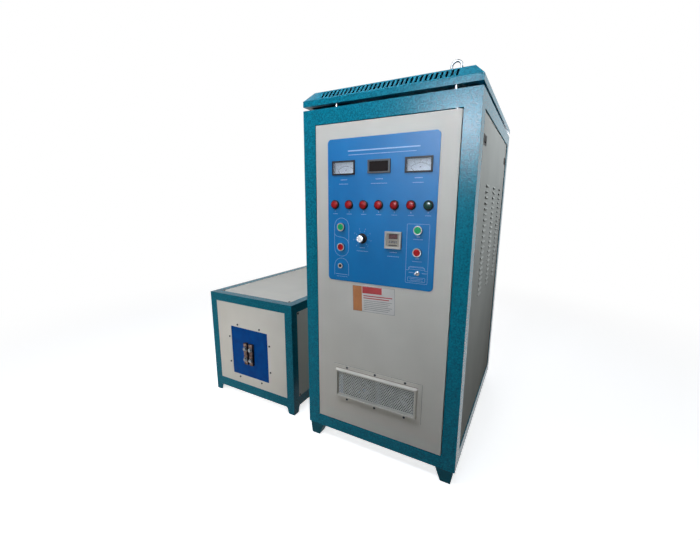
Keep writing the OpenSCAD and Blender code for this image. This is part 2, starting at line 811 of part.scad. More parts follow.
module button_bezels() {
  color("silver") at_buttons() {
    tube_y(ring_d, ring_d - 2 * bezel_wall, face_y - bezel_h, face_y);
    tube_y(ring_d, barrel_bore, face_y - bezel_floor, face_y);
    tube_y(barrel_d, barrel_bore, face_y, barrel_l);
    tube_y(nut_d, hole_d, sheet_t, sheet_t + nut_h);
  }
}
stem_l = 20;
module button() {
  y0 = face_y - bezel_h - cap_out;
  rod_y(cap_d, y0, face_y - bezel_floor - button_travel - slip);
  rod_y(stem_d, y0 + cap_out, y0 + cap_h + stem_l);
}
module left_green_button() { color("#17a05a") on_plate(button_left_x, green_z) button(); }
module left_red_button() { color("#b3141a") on_plate(button_left_x, red_z) button(); }
module right_green_button() { color("#17a05a") on_plate(button_right_x, green_z) button(); }
module right_red_button() { color("#b3141a") on_plate(button_right_x, red_z) button(); }

// Power knob, toggle and foot switch socket, with their bushes and the bodies behind the door
knob_shaft_d = 6;
knob_skirt_h = 5;
knob_grip_d = 28;
knob_cap_d = 23;
knob_edge = 1.5;
knob_bore_l = 10;
pot_d = 28;
pot_l = 18;
bush_nut_d = 15;
bush_nut_h = 2.5;
bush_l = 9;
toggle_body_w = 13;
toggle_body_h = 20;
toggle_body_l = 24;
toggle_ball_d = 6;
toggle_root_d = 3;
toggle_tip_d = 5.4;
socket_rim = 2.5;
socket_out = 8;
socket_l = 24;
block_w = 28;
block_d = 26;
module power_knob() {
  color(black) on_plate(knob_x, knob_z) {
    difference() {
      translate([0, face_y - slip, 0]) rotate([90, 0, 0]) rotate_extrude()
        polygon([[0, 0], [knob_d / 2, 0], [knob_d / 2, knob_skirt_h - knob_edge],
          [knob_d / 2 - knob_edge, knob_skirt_h], [knob_grip_d / 2, knob_skirt_h],
          [knob_cap_d / 2 + knob_edge, knob_h - knob_edge - slip], [knob_cap_d / 2, knob_h - slip],
          [0, knob_h - slip]]);
      rod_y(bush_nut_d + 2 * slip, face_y - bush_nut_h - 2 * slip, face_y + cut);
    }
    rod_y(knob_shaft_d, face_y - knob_bore_l, bush_l - slip);
  }
}
module panel_bushes() {
  color("silver") {
    on_plate(knob_x, knob_z) {
      tube_y(pot_bush_d - 2 * seat_slip, knob_shaft_d + 2 * pin_slip, face_y, bush_l);
      tube_y(bush_nut_d, knob_shaft_d + 2 * pin_slip, face_y - bush_nut_h, face_y);
    }
    on_plate(toggle_x, switch_z) {
      tube_y(toggle_bush_d - 2 * seat_slip, toggle_ball_d + 2 * slip, face_y - 2 * bush_nut_h, bush_l);
      tube_y(bush_nut_d, toggle_ball_d + 2 * slip, face_y - bush_nut_h, face_y);
    }
    on_plate(socket_x, switch_z) difference() {
      union() {
        rod_y(socket_d, face_y - socket_out, face_y);
        rod_y(socket_d - 2 * socket_rim - 2 * seat_slip, face_y, socket_l);
      }
      rod_y(socket_bore, face_y - socket_out - cut, face_y - cut);
    }
  }
}
module toggle_lever() {
  color("silver") on_plate(toggle_x, switch_z) translate([0, face_y, 0]) {
    sphere(d = toggle_ball_d);
    rotate([0, 0, -toggle_tilt]) rotate([90, 0, 0])
      cylinder(d1 = toggle_root_d, d2 = toggle_tip_d, h = toggle_l + bush_nut_h);
  }
}
module control_bodies() {
  color(black) {
    at_buttons() box_y(block_w, block_w, barrel_l, barrel_l + block_d);
    on_plate(knob_x, knob_z) rod_y(pot_d, bush_l, bush_l + pot_l);
    on_plate(toggle_x, switch_z) box_y(toggle_body_w, toggle_body_h, bush_l, bush_l + toggle_body_l);
  }
}

// Intake grille: a raised frame with a bevel, the mesh set back in it, and two fans behind the door
grille_lip = 6;
grille_step = 4;
grille_t = 2;
mesh_t = 1;
mesh_back = 5;
grille_screw_x = 116;
grille_screw_in = 7.5;
module at_grille_screws() {
  for (x = [-1 : 1], z = [-1, 1])
    translate([x * grille_screw_x, 0, z * (grille_h / 2 - grille_screw_in)]) children();
}
hood_w = grille_open_w + 2 * grille_lip;
hood_h = grille_open_h + 2 * grille_lip;
mesh_room = 4;
module grille_hood() {
  intersection() {
    slab_x(-grille_w / 2, grille_w / 2) polygon([[0, -hood_h / 2 - grille_step], [-grille_out, -hood_h / 2],
      [-grille_out, hood_h / 2], [0, hood_h / 2 + grille_step]]);
    translate([0, 0, -grille_h / 2]) linear_extrude(grille_h) polygon([[-hood_w / 2 - grille_step, 0],
      [-hood_w / 2, -grille_out], [hood_w / 2, -grille_out], [hood_w / 2 + grille_step, 0]]);
  }
}
module grille_frame() {
  color(off_white) on_grille() difference() {
    union() {
      box_y(grille_w, grille_h, -grille_t, 0);
      grille_hood();
    }
    box_y(grille_open_w, grille_open_h, -grille_out - cut, cut);
    box_y(grille_open_w + mesh_room, grille_open_h + mesh_room, -grille_out + mesh_back, cut);
    at_grille_screws() rod_y(screw_hole_d, -grille_t - cut, cut);
  }
}
module grille_mesh() {
  w = grille_open_w + mesh_room - 2 * seat_slip;
  h = grille_open_h + mesh_room - 2 * seat_slip;
  columns = floor((w - 2 * mesh_hole) / mesh_pitch);
  rows = floor((h - 2 * mesh_hole) / mesh_pitch);
  y0 = mesh_back - grille_out;
  color("#8d8f8c") on_grille() slab_y(y0, y0 + mesh_t) difference() {
    square([w, h], center = true);
    for (j = [0 : rows], i = [0 : columns - j % 2])
      translate([(i - (columns - j % 2) / 2) * mesh_pitch, (j - rows / 2) * mesh_pitch])
        square(mesh_hole, center = true);
  }
}
module screw_y(y, l) {
  translate([0, y, 0]) {
    rod_y(screw_head_d, -screw_head_h, 0);
    rod_y(screw_d, 0, l);
  }
}
module grille_screws() {
  color(black) on_grille() at_grille_screws() screw_y(-grille_t, grille_t + 2 * sheet_t);
}
fan_rim = 4;
fan_bore = fan_size - 2 * fan_rim;
fan_y = sheet_t;
fan_hub_d = 44;
fan_strut = 7;
fan_strut_t = 4;
fan_shaft_d = 5;
fan_boss_d = 14;
blade_t = 1.6;
blade_pitch = 35;
blade_chord_share = 0.32;
module at_fans() { for (s = [-1, 1]) on_grille() translate([s * fan_pitch / 2, 0, 0]) children(); }
module fan_housings() {
  color(black) at_fans() {
    difference() {
      box_y(fan_size, fan_size, fan_y, fan_y + fan_t);
      rod_y(fan_bore, fan_y - cut, fan_y + fan_t + cut);
    }
    difference() {
      union() {
        rod_y(fan_hub_d, fan_y + fan_t - fan_strut_t, fan_y + fan_t);
        box_y(fan_bore + fan_rim, fan_strut, fan_y + fan_t - fan_strut_t, fan_y + fan_t);
        box_y(fan_strut, fan_bore + fan_rim, fan_y + fan_t - fan_strut_t, fan_y + fan_t);
        rod_y(fan_boss_d, fan_y + fan_t - 2 * fan_strut_t, fan_y + fan_t);
      }
      rod_y(fan_shaft_d + 2 * pin_slip, fan_y, fan_y + fan_t + cut);
    }
  }
}
module fan_rotor() {
  tip_d = fan_bore - 6 * slip;
  chord = tip_d * blade_chord_share;
  y1 = fan_y + fan_t - 2 * fan_strut_t - slip;
  rod_y(fan_hub_d, fan_y + 2 * slip, y1);
  rod_y(fan_shaft_d, y1, fan_y + fan_t);
  intersection() {
    rod_y(tip_d, fan_y + 2 * slip, y1);
    union() for (i = [0 : blade_count - 1]) rotate([0, i * 360 / blade_count, 0])
      translate([0, (fan_y + 2 * slip + y1) / 2, fan_hub_d / 4]) rotate([0, 0, blade_pitch])
        span([-chord / 2, -blade_t / 2, 0], [chord / 2, blade_t / 2, tip_d]);
  }
}
module left_fan_rotor() { color("#2a2c2e") on_grille() translate([-fan_pitch / 2, 0, 0]) fan_rotor(); }
module right_fan_rotor() { color("#2a2c2e") on_grille() translate([fan_pitch / 2, 0, 0]) fan_rotor(); }

// Inside the power cabinet
mount_bottom = panel_bottom + sheet_t;
mount_foot = 40;
breaker_w = 105;
breaker_h = 165;
breaker_d = 72;
breaker_x = -150;
breaker_up = 880;
lever_w = 22;
lever_t = 9;
lever_out = 14;
lever_blade = 6;
lever_pin_d = 4;
lever_pin_l = 5;
lever_back = 6;
lever_well_h = 52;
lever_well_d = 26;
lever_tilt = 25;
cooler_x = 50;
cooler_up = 330;
pipe_d = 15;
pipe_hole = 17;
module_w = 62;
module_h = 106;
module_d = 30;
module_rows = 3;
module mounting_plate() {
  color("#c9ccc8") at_cabinet() difference() {
    union() {
      span([-mount_w / 2, mount_y, mount_bottom], [mount_w / 2, mount_y + sheet_t, mount_bottom + mount_h]);
      span([-mount_w / 2, mount_y, mount_bottom],
        [mount_w / 2, mount_y + mount_foot, mount_bottom + sheet_t]);
    }
    at_fittings(frame_bottom + fitting_up) rod_y(pipe_hole, mount_y - cut, mount_y + sheet_t + cut);
  }
}
module at_breaker() { translate([breaker_x, mount_y - breaker_d, mount_bottom + breaker_up]) children(); }
module at_lever() { at_breaker() translate([0, lever_well_d - lever_back, 0]) children(); }
module main_breaker() {
  pin_end = lever_w / 2 + lever_pin_l + slip;
  color("#3a3d40") at_cabinet() difference() {
    at_breaker() box_y(breaker_w, breaker_h, 0, breaker_d);
    at_breaker() box_y(lever_w + 2 * slip, lever_well_h, -cut, lever_well_d);
    at_lever() rod_x(lever_pin_d + 2 * pin_slip, -pin_end, pin_end);
  }
}
module breaker_lever() {
  color("#e3e3df") at_cabinet() at_lever() rotate([-lever_tilt, 0, 0]) {
    rod_x(lever_t, -lever_w / 2, lever_w / 2);
    rod_x(lever_pin_d, -lever_w / 2 - lever_pin_l, lever_w / 2 + lever_pin_l);
    span([-lever_w / 2, -lever_well_d - lever_out, -lever_blade / 2], [lever_w / 2, 0, lever_blade / 2]);
  }
}
module cooling_plate() {
  z0 = mount_bottom + cooler_up;
  pipe_z = frame_bottom + fitting_up;
  color("#aeb3b5") at_cabinet() {
    span([cooler_x - cooler_w / 2, mount_y - cooler_t, z0],
      [cooler_x + cooler_w / 2, mount_y, z0 + cooler_h]);
    at_fittings(0) {
      translate([0, mount_y - pipe_d, 0]) rod_z(pipe_d, pipe_z, z0 + cut);
      translate([0, 0, pipe_z]) rod_y(pipe_d, mount_y - pipe_d, cab_d - fitting_inner_l);
      translate([0, mount_y - pipe_d, pipe_z]) sphere(d = pipe_d);
    }
  }
}
module power_modules() {
  z0 = mount_bottom + cooler_up + cooler_h / 2;
  color("#2b2d30") at_cabinet() for (i = [-1, 1], j = [-1 : 1])
    translate([cooler_x + i * cooler_w / 4, 0, z0 + j * cooler_h / module_rows])
      box_y(module_w, module_h, mount_y - cooler_t - module_d, mount_y - cooler_t);
}
can_count = 3;
can_space = 30;
tr_can_x = 150;
module can_row() {
  for (i = [0 : can_count - 1]) translate([0, i * (cap_can_d + can_space), 0])
    cylinder(d = cap_can_d, h = cap_can_h);
}
module film_capacitors() {
  color("#3f6f9c") {
    at_cabinet() translate([-mount_w / 2 + cap_can_d / 2, mount_y - cap_can_d, mount_bottom])
      rotate([0, 0, 180]) can_row();
    at_transformer() for (s = [-1, 1])
      translate([s * tr_can_x, tr_d / 2 + cap_can_d, tr_leg + tr_wall + sheet_t]) can_row();
  }
}

// Pieces that pass through the rear walls
module water_fitting(face, wall) {
  difference() {
    union() {
      translate([0, face, 0]) rotate([-90, 0, 0]) cylinder(d = fitting_hex, h = fitting_hex_h, $fn = 6);
      rod_y(fitting_d, face + fitting_hex_h, face + fitting_hex_h + fitting_l);
      rod_y(fitting_d, face - wall - fitting_inner_l, face);
    }
    rod_y(fitting_bore, face - wall - fitting_inner_l - cut, face + fitting_hex_h + fitting_l + cut);
  }
}
tr_fitting_up = 150;
tr_gland_up = 300;
module water_fittings() {
  color("#b9934a") {
    at_cabinet() at_fittings(frame_bottom + fitting_up) water_fitting(rear_face, sheet_t);
    at_transformer() at_fittings(tr_fitting_up) water_fitting(tr_rear_face, tr_cover_t);
  }
}
module gland(face, wall) {
  difference() {
    union() {
      translate([0, face, 0]) rotate([-90, 0, 0]) cylinder(d = gland_hex, h = gland_hex_h, $fn = 6);
      rod_y(gland_dome_d, face + gland_hex_h, face + gland_hex_h + gland_dome_h);
      rod_y(gland_thread_d, face - wall - 2 * gland_nut_h, face);
      translate([0, face - wall - gland_nut_h, 0]) rotate([-90, 0, 0])
        cylinder(d = gland_hex, h = gland_nut_h, $fn = 6);
    }
    rod_y(gland_bore, face - wall - 2 * gland_nut_h - cut, face + gland_hex_h + gland_dome_h + cut);
  }
}
module at_tr_glands() { for (i = [-1, 1]) translate([i * gland_pitch, 0, tr_gland_up]) children(); }
module cable_glands() {
  color(black) {
    at_cabinet() at_glands() gland(rear_face, sheet_t);
    at_transformer() at_tr_glands() gland(tr_rear_face, tr_cover_t);
  }
}

// Transformer cabinet: a welded shell of edges, with a pocket and a lip for each cover
tr_front_w = tr_w - 2 * tr_edge;
tr_front_h = tr_h - tr_edge - tr_bottom_rail;
tr_front_z = (tr_h - tr_edge + tr_bottom_rail) / 2;
tr_side_l = tr_d - 2 * tr_edge;
tr_tunnel_w = tr_w - 2 * tr_leg_w;
tr_tunnel_l = tr_d - 2 * tr_leg_w;
module tunnel_outline(l) {
  c = tr_leg_corner;
  for (m = [0, 1]) mirror([m, 0]) polygon([[0, -cut], [l / 2 + tr_leg_slant + c, -cut],
    [l / 2 + tr_leg_slant + c, 0], [l / 2 + tr_leg_slant, c], [l / 2, tr_leg - c],
    [l / 2 - c, tr_leg], [0, tr_leg]]);
}
module front_pocket() {
  translate([0, 0, tr_front_z]) {
    box_y(tr_front_w, tr_front_h, -cut, tr_pocket);
    box_y(tr_front_w - 2 * tr_lip, tr_front_h - 2 * tr_lip, -cut, tr_wall + cut);
  }
}
module side_pocket() {
  translate([tr_w / 2, tr_d / 2, tr_front_z]) rotate([0, 0, 90]) {
    box_y(tr_side_l, tr_front_h, -cut, tr_pocket);
    box_y(tr_side_l - 2 * tr_lip, tr_front_h - 2 * tr_lip, -cut, tr_wall + cut);
  }
}
module transformer_frame() {
  color(teal) at_transformer() difference() {
    span([-tr_w / 2, 0, 0], [tr_w / 2, tr_d, tr_h]);
    span([-tr_w / 2 + tr_wall, tr_wall, -cut], [tr_w / 2 - tr_wall, tr_d - tr_wall, tr_leg]);
    span([-tr_w / 2 + tr_wall, tr_wall, tr_leg + tr_wall],
      [tr_w / 2 - tr_wall, tr_d - tr_wall, tr_h - tr_wall]);
    span([-tr_w / 2 + tr_edge, tr_edge, tr_leg - cut],
      [tr_w / 2 - tr_edge, tr_d - tr_edge, tr_leg + tr_wall + cut]);
    slab_y(-cut, tr_d + cut) tunnel_outline(tr_tunnel_w);
    translate([0, tr_d / 2, 0]) slab_x(-tr_w / 2 - cut, tr_w / 2 + cut) tunnel_outline(tr_tunnel_l);
    front_pocket();
    translate([0, tr_d, 0]) mirror([0, 1, 0]) front_pocket();
    mirrored_x() side_pocket();
    span([-tr_w / 2 + tr_edge, tr_edge, tr_h - tr_pocket], [tr_w / 2 - tr_edge, tr_d - tr_edge, tr_h + cut]);
    span([-tr_w / 2 + tr_edge + tr_lip, tr_edge + tr_lip, tr_h - tr_wall - cut],
      [tr_w / 2 - tr_edge - tr_lip, tr_d - tr_edge - tr_lip, tr_h + cut]);
  }
}
board_x = -9;
board_over = 16;
board_t = 8;
board_screw_out = 12;
board_screw_x = 69;
board_screw_z = 65;
module at_board() { at_transformer() translate([board_x, 0, tr_mid_z]) children(); }
module at_board_screws() {
  for (a = [-1, 1], b = [-1, 1]) {
    translate([a * board_screw_x, 0, b * (board_h / 2 + board_screw_out)]) children();
    translate([a * (board_w / 2 + board_screw_out), 0, b * board_screw_z]) children();
  }
}
tr_front_y = tr_pocket - tr_cover_t;
module transformer_front_cover() {
  color(off_white) difference() {
    at_transformer() translate([0, 0, tr_front_z])
      box_y(tr_front_w - 2 * seat_slip, tr_front_h - 2 * seat_slip, tr_front_y, tr_pocket);
    at_board() box_y(board_w, board_h, 0, tr_wall);
    at_board() at_board_screws() rod_y(screw_hole_d, 0, tr_wall);
  }
}
top_w = tr_w - 2 * tr_edge - 2 * seat_slip;
top_l = tr_side_l - 2 * seat_slip;
module at_top_screws() {
  for (x = [-1, 1], y = [-1, 1])
    translate([x * (top_w - tr_lip) / 2, tr_d / 2 + y * (top_l - tr_lip) / 2, 0]) children();
}
module transformer_top_cover() {
  color(off_white) at_transformer() difference() {
    span([-top_w / 2, tr_d / 2 - top_l / 2, tr_h - tr_pocket],
      [top_w / 2, tr_d / 2 + top_l / 2, tr_h - tr_pocket + tr_cover_t]);
    at_top_screws() rod_z(screw_hole_d, tr_h - tr_pocket - cut, tr_h + cut);
  }
}
module at_side_screws() {
  for (y = [-1, 1], z = [-1, 1]) translate([0, y * (top_l - tr_lip) / 2, z * (tr_front_h - tr_lip) / 2])
    translate([0, tr_d / 2, tr_front_z]) children();
}
module at_tr_rear_screws() {
  for (x = [-1, 1], z = [-1, 1])
    translate([x * (tr_front_w - tr_lip) / 2, 0, tr_front_z + z * (tr_front_h - tr_lip) / 2]) children();
}
module transformer_side_covers() {
  color(off_white) at_transformer() {
    mirrored_x() difference() {
      translate([tr_w / 2 - tr_pocket, tr_d / 2 - top_l / 2, tr_front_z - tr_front_h / 2 + seat_slip])
        cube([tr_cover_t, top_l, tr_front_h - 2 * seat_slip]);
      at_side_screws() rod_x(screw_hole_d, tr_w / 2 - tr_wall, tr_w / 2);
    }
    difference() {
      translate([0, 0, tr_front_z])
        box_y(tr_front_w - 2 * seat_slip, tr_front_h - 2 * seat_slip, tr_d - tr_pocket, tr_rear_face);
      at_tr_rear_screws() rod_y(screw_hole_d, tr_d - tr_wall, tr_d);
      at_tr_glands() rod_y(gland_thread_d + 2 * seat_slip, tr_d - tr_wall, tr_d);
      at_fittings(tr_fitting_up) rod_y(fitting_d + 2 * seat_slip, tr_d - tr_wall, tr_d);
    }
  }
}
module cover_screws() {
  color("#4b4d4e") {
    at_cabinet() at_rear_screws() translate([0, rear_face, 0]) mirror([0, 1, 0]) screw_y(0, sheet_t);
    at_board() at_board_screws() screw_y(tr_front_y, tr_cover_t);
    at_transformer() {
      at_top_screws() {
        rod_z(screw_head_d, tr_h - tr_pocket + tr_cover_t, tr_h - tr_pocket + tr_cover_t + screw_head_h);
        rod_z(screw_d, tr_h - tr_pocket, tr_h - tr_pocket + tr_cover_t);
      }
      mirrored_x() at_side_screws() {
        x0 = tr_w / 2 - tr_pocket;
        rod_x(screw_d, x0, x0 + tr_cover_t);
        rod_x(screw_head_d, x0 + tr_cover_t, x0 + tr_cover_t + screw_head_h);
      }
      at_tr_rear_screws() translate([0, tr_rear_face, 0]) mirror([0, 1, 0]) screw_y(0, tr_cover_t);
    }
  }
}

// Output side: the blue board, the copper terminals and what they feed from
busbar_h = 60;
core_y = 150;
core_w = 150;
core_l = 200;
core_h = 170;
core_limb = 40;
core_top = tr_mid_z + core_h / 2;
coil_wall = 22;
coil_slit = 5;
winding_t = 12;
winding_h = 120;
module terminal_board() {
  color("#0b418a") at_board() difference() {
    box_y(board_w + 2 * board_over, board_h + 2 * board_over, tr_pocket, tr_pocket + board_t);
    for (s = [-1, 1]) translate([s * bar_pitch / 2, 0, 0])
      box_y(bar_t + 2 * seat_slip, busbar_h + 2 * seat_slip, tr_pocket - cut, tr_pocket + board_t + cut);
  }
}
module at_bolts() {
  for (a = [-1, 1], b = [-1, 1]) translate([a * bar_pitch / 2, 0, b * bolt_pitch / 2]) children();
}
module output_terminals() {
  color(copper) at_board() difference() {
    for (s = [-1, 1]) translate([s * bar_pitch / 2, 0, 0]) {
      box_y(bar_w, bar_h, tr_pocket - bar_t, tr_pocket);
      box_y(bar_t, busbar_h, tr_pocket, core_y);
    }
    at_bolts() rod_y(bolt_d + 2 * pin_slip, tr_pocket - bar_t - cut, tr_pocket - bar_t + bolt_l + slip);
  }
}
module terminal_bolts() {
  y0 = tr_pocket - bar_t;
  color(steel) at_board() at_bolts() {
    rod_y(bolt_d, y0, y0 + bolt_l);
    rod_y(bar_w, y0 - washer_h, y0);
    translate([0, y0 - washer_h - bolt_head_h, 0]) rotate([-90, 0, 0])
      cylinder(d = bolt_head_w, h = bolt_head_h, $fn = 6);
  }
}
tr_floor = tr_leg + tr_wall + sheet_t;
module at_core() { at_transformer() translate([board_x, core_y, 0]) children(); }
// The core's left limb stands behind the two terminals
module ferrite_core() {
  color("#33312f") at_core() translate([-core_limb / 2, coil_wall, 0]) difference() {
    span([0, 0, tr_floor], [core_w, core_l, core_top]);
    span([core_limb, -cut, tr_floor + core_limb], [core_w - core_limb, core_l + cut, core_top - core_limb]);
  }
}
// One heavy slit turn on the left limb, and the wound coil on the right one
module transformer_windings() {
  color(copper) at_core() {
    difference() {
      span([-core_limb / 2 - coil_wall, 0, tr_mid_z - busbar_h / 2],
        [core_limb / 2 + coil_wall, core_l + 2 * coil_wall, tr_mid_z + busbar_h / 2]);
      span([-core_limb / 2 - slip, coil_wall - slip, 0],
        [core_limb / 2 + slip, core_l + coil_wall + slip, tr_h]);
      span([-coil_slit / 2, -cut, 0], [coil_slit / 2, coil_wall, tr_h]);
    }
    translate([core_w - core_limb, coil_wall, 0]) difference() {
      span([-core_limb / 2 - winding_t, -winding_t, (tr_floor + core_top - winding_h) / 2],
        [core_limb / 2 + winding_t, core_l + winding_t, (tr_floor + core_top + winding_h) / 2]);
      span([-core_limb / 2 - slip, -slip, 0], [core_limb / 2 + slip, core_l + slip, tr_h]);
    }
  }
}

front_frame();
rear_frame();
cabinet_feet();
roof_cap();
roof_standoffs();
lifting_eyes();
floor_pans();
right_side_panel();
left_side_panel();
rear_panel();
latch_housings();
right_latches();
left_latches();
hinge_pins();
front_door();
control_plate();
meter_housings();
meter_dials();
left_needle();
right_needle();
meter_windows();
display_housing();
readout_windows();
lamp_bodies();
red_lenses();
green_lens();
button_bezels();
left_green_button();
left_red_button();
right_green_button();
right_red_button();
power_knob();
control_bodies();
panel_bushes();
timer_housing();
toggle_lever();
grille_frame();
grille_mesh();
grille_screws();
fan_housings();
left_fan_rotor();
right_fan_rotor();
mounting_plate();
main_breaker();
breaker_lever();
cooling_plate();
power_modules();
film_capacitors();
water_fittings();
cable_glands();
cover_screws();
transformer_frame();
transformer_front_cover();
transformer_top_cover();
transformer_side_covers();
terminal_board();
output_terminals();
terminal_bolts();
ferrite_core();
transformer_windings();
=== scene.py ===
"""Looks of an induction heating machine: a power cabinet with a control door and a transformer cabinet."""
import math
from contextlib import contextmanager

import bmesh
import bpy
from mathutils import Matrix, Vector


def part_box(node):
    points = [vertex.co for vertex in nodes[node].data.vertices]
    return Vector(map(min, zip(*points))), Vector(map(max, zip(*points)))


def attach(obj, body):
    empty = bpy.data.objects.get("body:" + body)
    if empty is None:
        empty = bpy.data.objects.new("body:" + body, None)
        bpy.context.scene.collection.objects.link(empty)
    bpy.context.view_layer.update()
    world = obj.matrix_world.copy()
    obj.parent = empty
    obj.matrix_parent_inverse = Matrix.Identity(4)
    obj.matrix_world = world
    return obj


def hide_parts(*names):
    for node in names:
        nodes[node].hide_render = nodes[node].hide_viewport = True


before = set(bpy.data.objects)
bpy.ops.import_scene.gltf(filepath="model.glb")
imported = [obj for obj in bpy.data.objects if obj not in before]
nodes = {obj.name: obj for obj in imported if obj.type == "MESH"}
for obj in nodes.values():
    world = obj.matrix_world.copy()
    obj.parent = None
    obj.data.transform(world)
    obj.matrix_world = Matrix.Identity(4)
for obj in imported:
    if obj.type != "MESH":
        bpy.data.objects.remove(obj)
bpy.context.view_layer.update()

MM = 0.001
SAME_PLACE = 0.01 * MM     # points closer than this are one


# Places, all read from the solids

def facing(origin, across=(1, 0, 0), up=(0, 0, 1)):
    """A way from millimetres across, up and out of a surface to the frame's metres."""
    origin, across, up = Vector(origin), Vector(across), Vector(up)
    out = across.cross(up)
    return lambda a, b, c=0.0: origin + (across * a + up * b + out * c) * MM


def shifted(place, a, b, c=0.0):
    """The same surface, with its middle moved."""
    return lambda x, z, y=0.0: place(a + x, b + z, c + y)


def middle(node):
    """The middle of a node's box, on its front."""
    low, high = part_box(node)
    return Vector(((low.x + high.x) / 2, low.y, (low.z + high.z) / 2))


# The floor under the middle of the power cabinet's front, and its frame's lower edge
CABINET = middle("front_frame")
CABINET.z = 0
FRAME_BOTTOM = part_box("front_frame")[0].z
plate = facing(middle("control_plate"))


# Materials

def colour(code):
    """An sRGB hex value as the linear colour that a shader takes."""
    parts = [int(code[i:i + 2], 16) / 255 for i in (1, 3, 5)]
    return [c / 12.92 if c <= 0.04045 else ((c + 0.055) / 1.055) ** 2.4 for c in parts] + [1.0]


def add(tree, kind, inputs=None, **settings):
    """Adds a node with its settings, and sets or links its inputs."""
    made = tree.nodes.new(kind)
    for name, value in settings.items():
        setattr(made, name, value)
    for name, value in (inputs or {}).items():
        if isinstance(value, bpy.types.NodeSocket):
            tree.links.new(value, made.inputs[name])
        else:
            made.inputs[name].default_value = value
    return made


def ramp(tree, factor, stops):
    """A colour ramp through (position, hex) stops."""
    made = add(tree, "ShaderNodeValToRGB", {"Fac": factor})
    elements = made.color_ramp.elements
    while len(elements) < len(stops):
        elements.new(0.5)
    for element, (position, code) in zip(elements, stops):
        element.position = position
        element.color = colour(code)
    return made.outputs["Color"]


NOISE_LOW, NOISE_HIGH = 0.3, 0.7     # the range that most of a noise's values lie in


def finish(name, shades, grain, depth=0.0, rough=(0.5, 0.5), stretch=None, detail=3.0, metallic=0.0, specular=0.5,
           sockets=None):
    """A surface whose shades, gloss and relief follow one grain. Grain and depth are in millimetres.

    Two shades lie at the ends of the noise's range. A list gives more of them with their places in it.
    """
    made = bpy.data.materials.new(name)
    made.use_nodes = True
    tree = made.node_tree
    shader = tree.nodes["Principled BSDF"]
    place = add(tree, "ShaderNodeTexCoord").outputs["Object"]
    if stretch:
        place = add(tree, "ShaderNodeMapping", {"Vector": place, "Scale": stretch}).outputs["Vector"]
    noise = add(tree, "ShaderNodeTexNoise", {"Vector": place, "Scale": 1 / (grain * MM), "Detail": detail,
                                             "Roughness": 0.55}).outputs["Fac"]
    stops = shades if isinstance(shades, list) else list(zip((NOISE_LOW, NOISE_HIGH), shades))
    tree.links.new(ramp(tree, noise, stops), shader.inputs["Base Color"])
    if rough[0] == rough[1]:
        shader.inputs["Roughness"].default_value = rough[0]
    else:
        spread = add(tree, "ShaderNodeMapRange", {"Value": noise, "From Min": NOISE_LOW, "From Max": NOISE_HIGH,
                                                  "To Min": rough[0], "To Max": rough[1]})
        tree.links.new(spread.outputs["Result"], shader.inputs["Roughness"])
    if depth:
        bump = add(tree, "ShaderNodeBump", {"Height": noise, "Distance": depth * MM, "Strength": 1.0})
        tree.links.new(bump.outputs["Normal"], shader.inputs["Normal"])
    for socket, value in {"Metallic": metallic, "Specular IOR Level": specular, **(sockets or {})}.items():
        shader.inputs[socket].default_value = value
    return made


# Hammered powder coat, baked on sheet steel: a teal skin of small dimples that flash pale blue in the light
hammered_teal = finish("hammered_teal_powder_coat", [(0.30, "#006075"), (0.52, "#00788f"), (0.75, "#0890a8")],
                       grain=4.6, depth=0.34, rough=(0.15, 0.24), detail=1.5, specular=0.07)
# The same coat on the feet, made darker as painted shade low under the cabinet
foot_teal = finish("shade_painted_feet_coat", ("#024552", "#055766"), grain=5.5, depth=0.15,
                   rough=(0.45, 0.6), specular=0.1)
# The same coat on the transformer cabinet, a shade darker as painted shade
transformer_teal_shaded = finish("shade_darkened_hammered_teal_coat", [(0.30, "#005062"), (0.52, "#006477"), (0.75, "#06788c")],
                   grain=3.7, depth=0.2, rough=(0.18, 0.28), detail=1.5, specular=0.07)
# Satin powder coat on the door and covers: off-white with a faint orange peel
satin_white = finish("off_white_powder_coat", ("#cfcbc1", "#d8d4ca"), grain=220, rough=(0.4, 0.5),
                     detail=2.0, specular=0.06)
# The same coat on the side panels, a little greyer as painted shade, and duller
shaded_side_coat = finish("panel_powder_coat", ("#bcc0bb", "#c8cbc6"), grain=300, rough=(0.5, 0.58),
                    detail=2.0, specular=0.0)
# Silk-screened aluminium plate in blue, with a slight cloudiness in the lacquer
plate_blue = finish("blue_lacquered_plate", ("#006eae", "#007abc"), grain=140, rough=(0.36, 0.44), specular=0.15)
# White screen print on the plate, thin enough for the blue to cool it
print_white = finish("pale_screen_print", ("#7aadd8", "#92bfe2"), grain=3, rough=(0.5, 0.6))
# Black print of the meter scales
print_black = finish("black_dial_print", ("#1a1d20", "#2a2e33"), grain=2, rough=(0.5, 0.6))
# Glass-epoxy board, painted deep blue
board_blue = finish("blue_insulating_board", ("#003c7e", "#00478c"), grain=30, depth=0.05,
                    rough=(0.35, 0.5), specular=0.05)
# Bare copper bars with the brown bloom of heat
bare_copper = finish("heat_stained_copper", [(0.3, "#2a201d"), (0.5, "#50403a"), (0.7, "#7e675c")], grain=14,
                     depth=0.08, rough=(0.3, 0.5), metallic=1.0)
# Zinc plated steel: pale, slightly cloudy
zinc = finish("zinc_plated_steel", ("#868b8d", "#a9aeb0"), grain=12, depth=0.03, rough=(0.25, 0.4), metallic=1.0)
# Steel of the terminal bolts, dulled by heat
bolt_steel = finish("heat_dulled_steel", ("#4b4d4f", "#94989a"), grain=5, depth=0.04,
                    rough=(0.3, 0.45), metallic=1.0)
# Bright chrome of rings and bushes
chrome = finish("satin_chrome", ("#7f8488", "#a4a8ab"), grain=20, rough=(0.16, 0.26), metallic=1.0)
# Galvanised lifting eyes, grey with darker patches
eye_steel = finish("galvanised_eye_steel", [(0.35, "#3f4447"), (0.6, "#9a9fa2")], grain=9, depth=0.05,
                   rough=(0.3, 0.45), metallic=1.0)
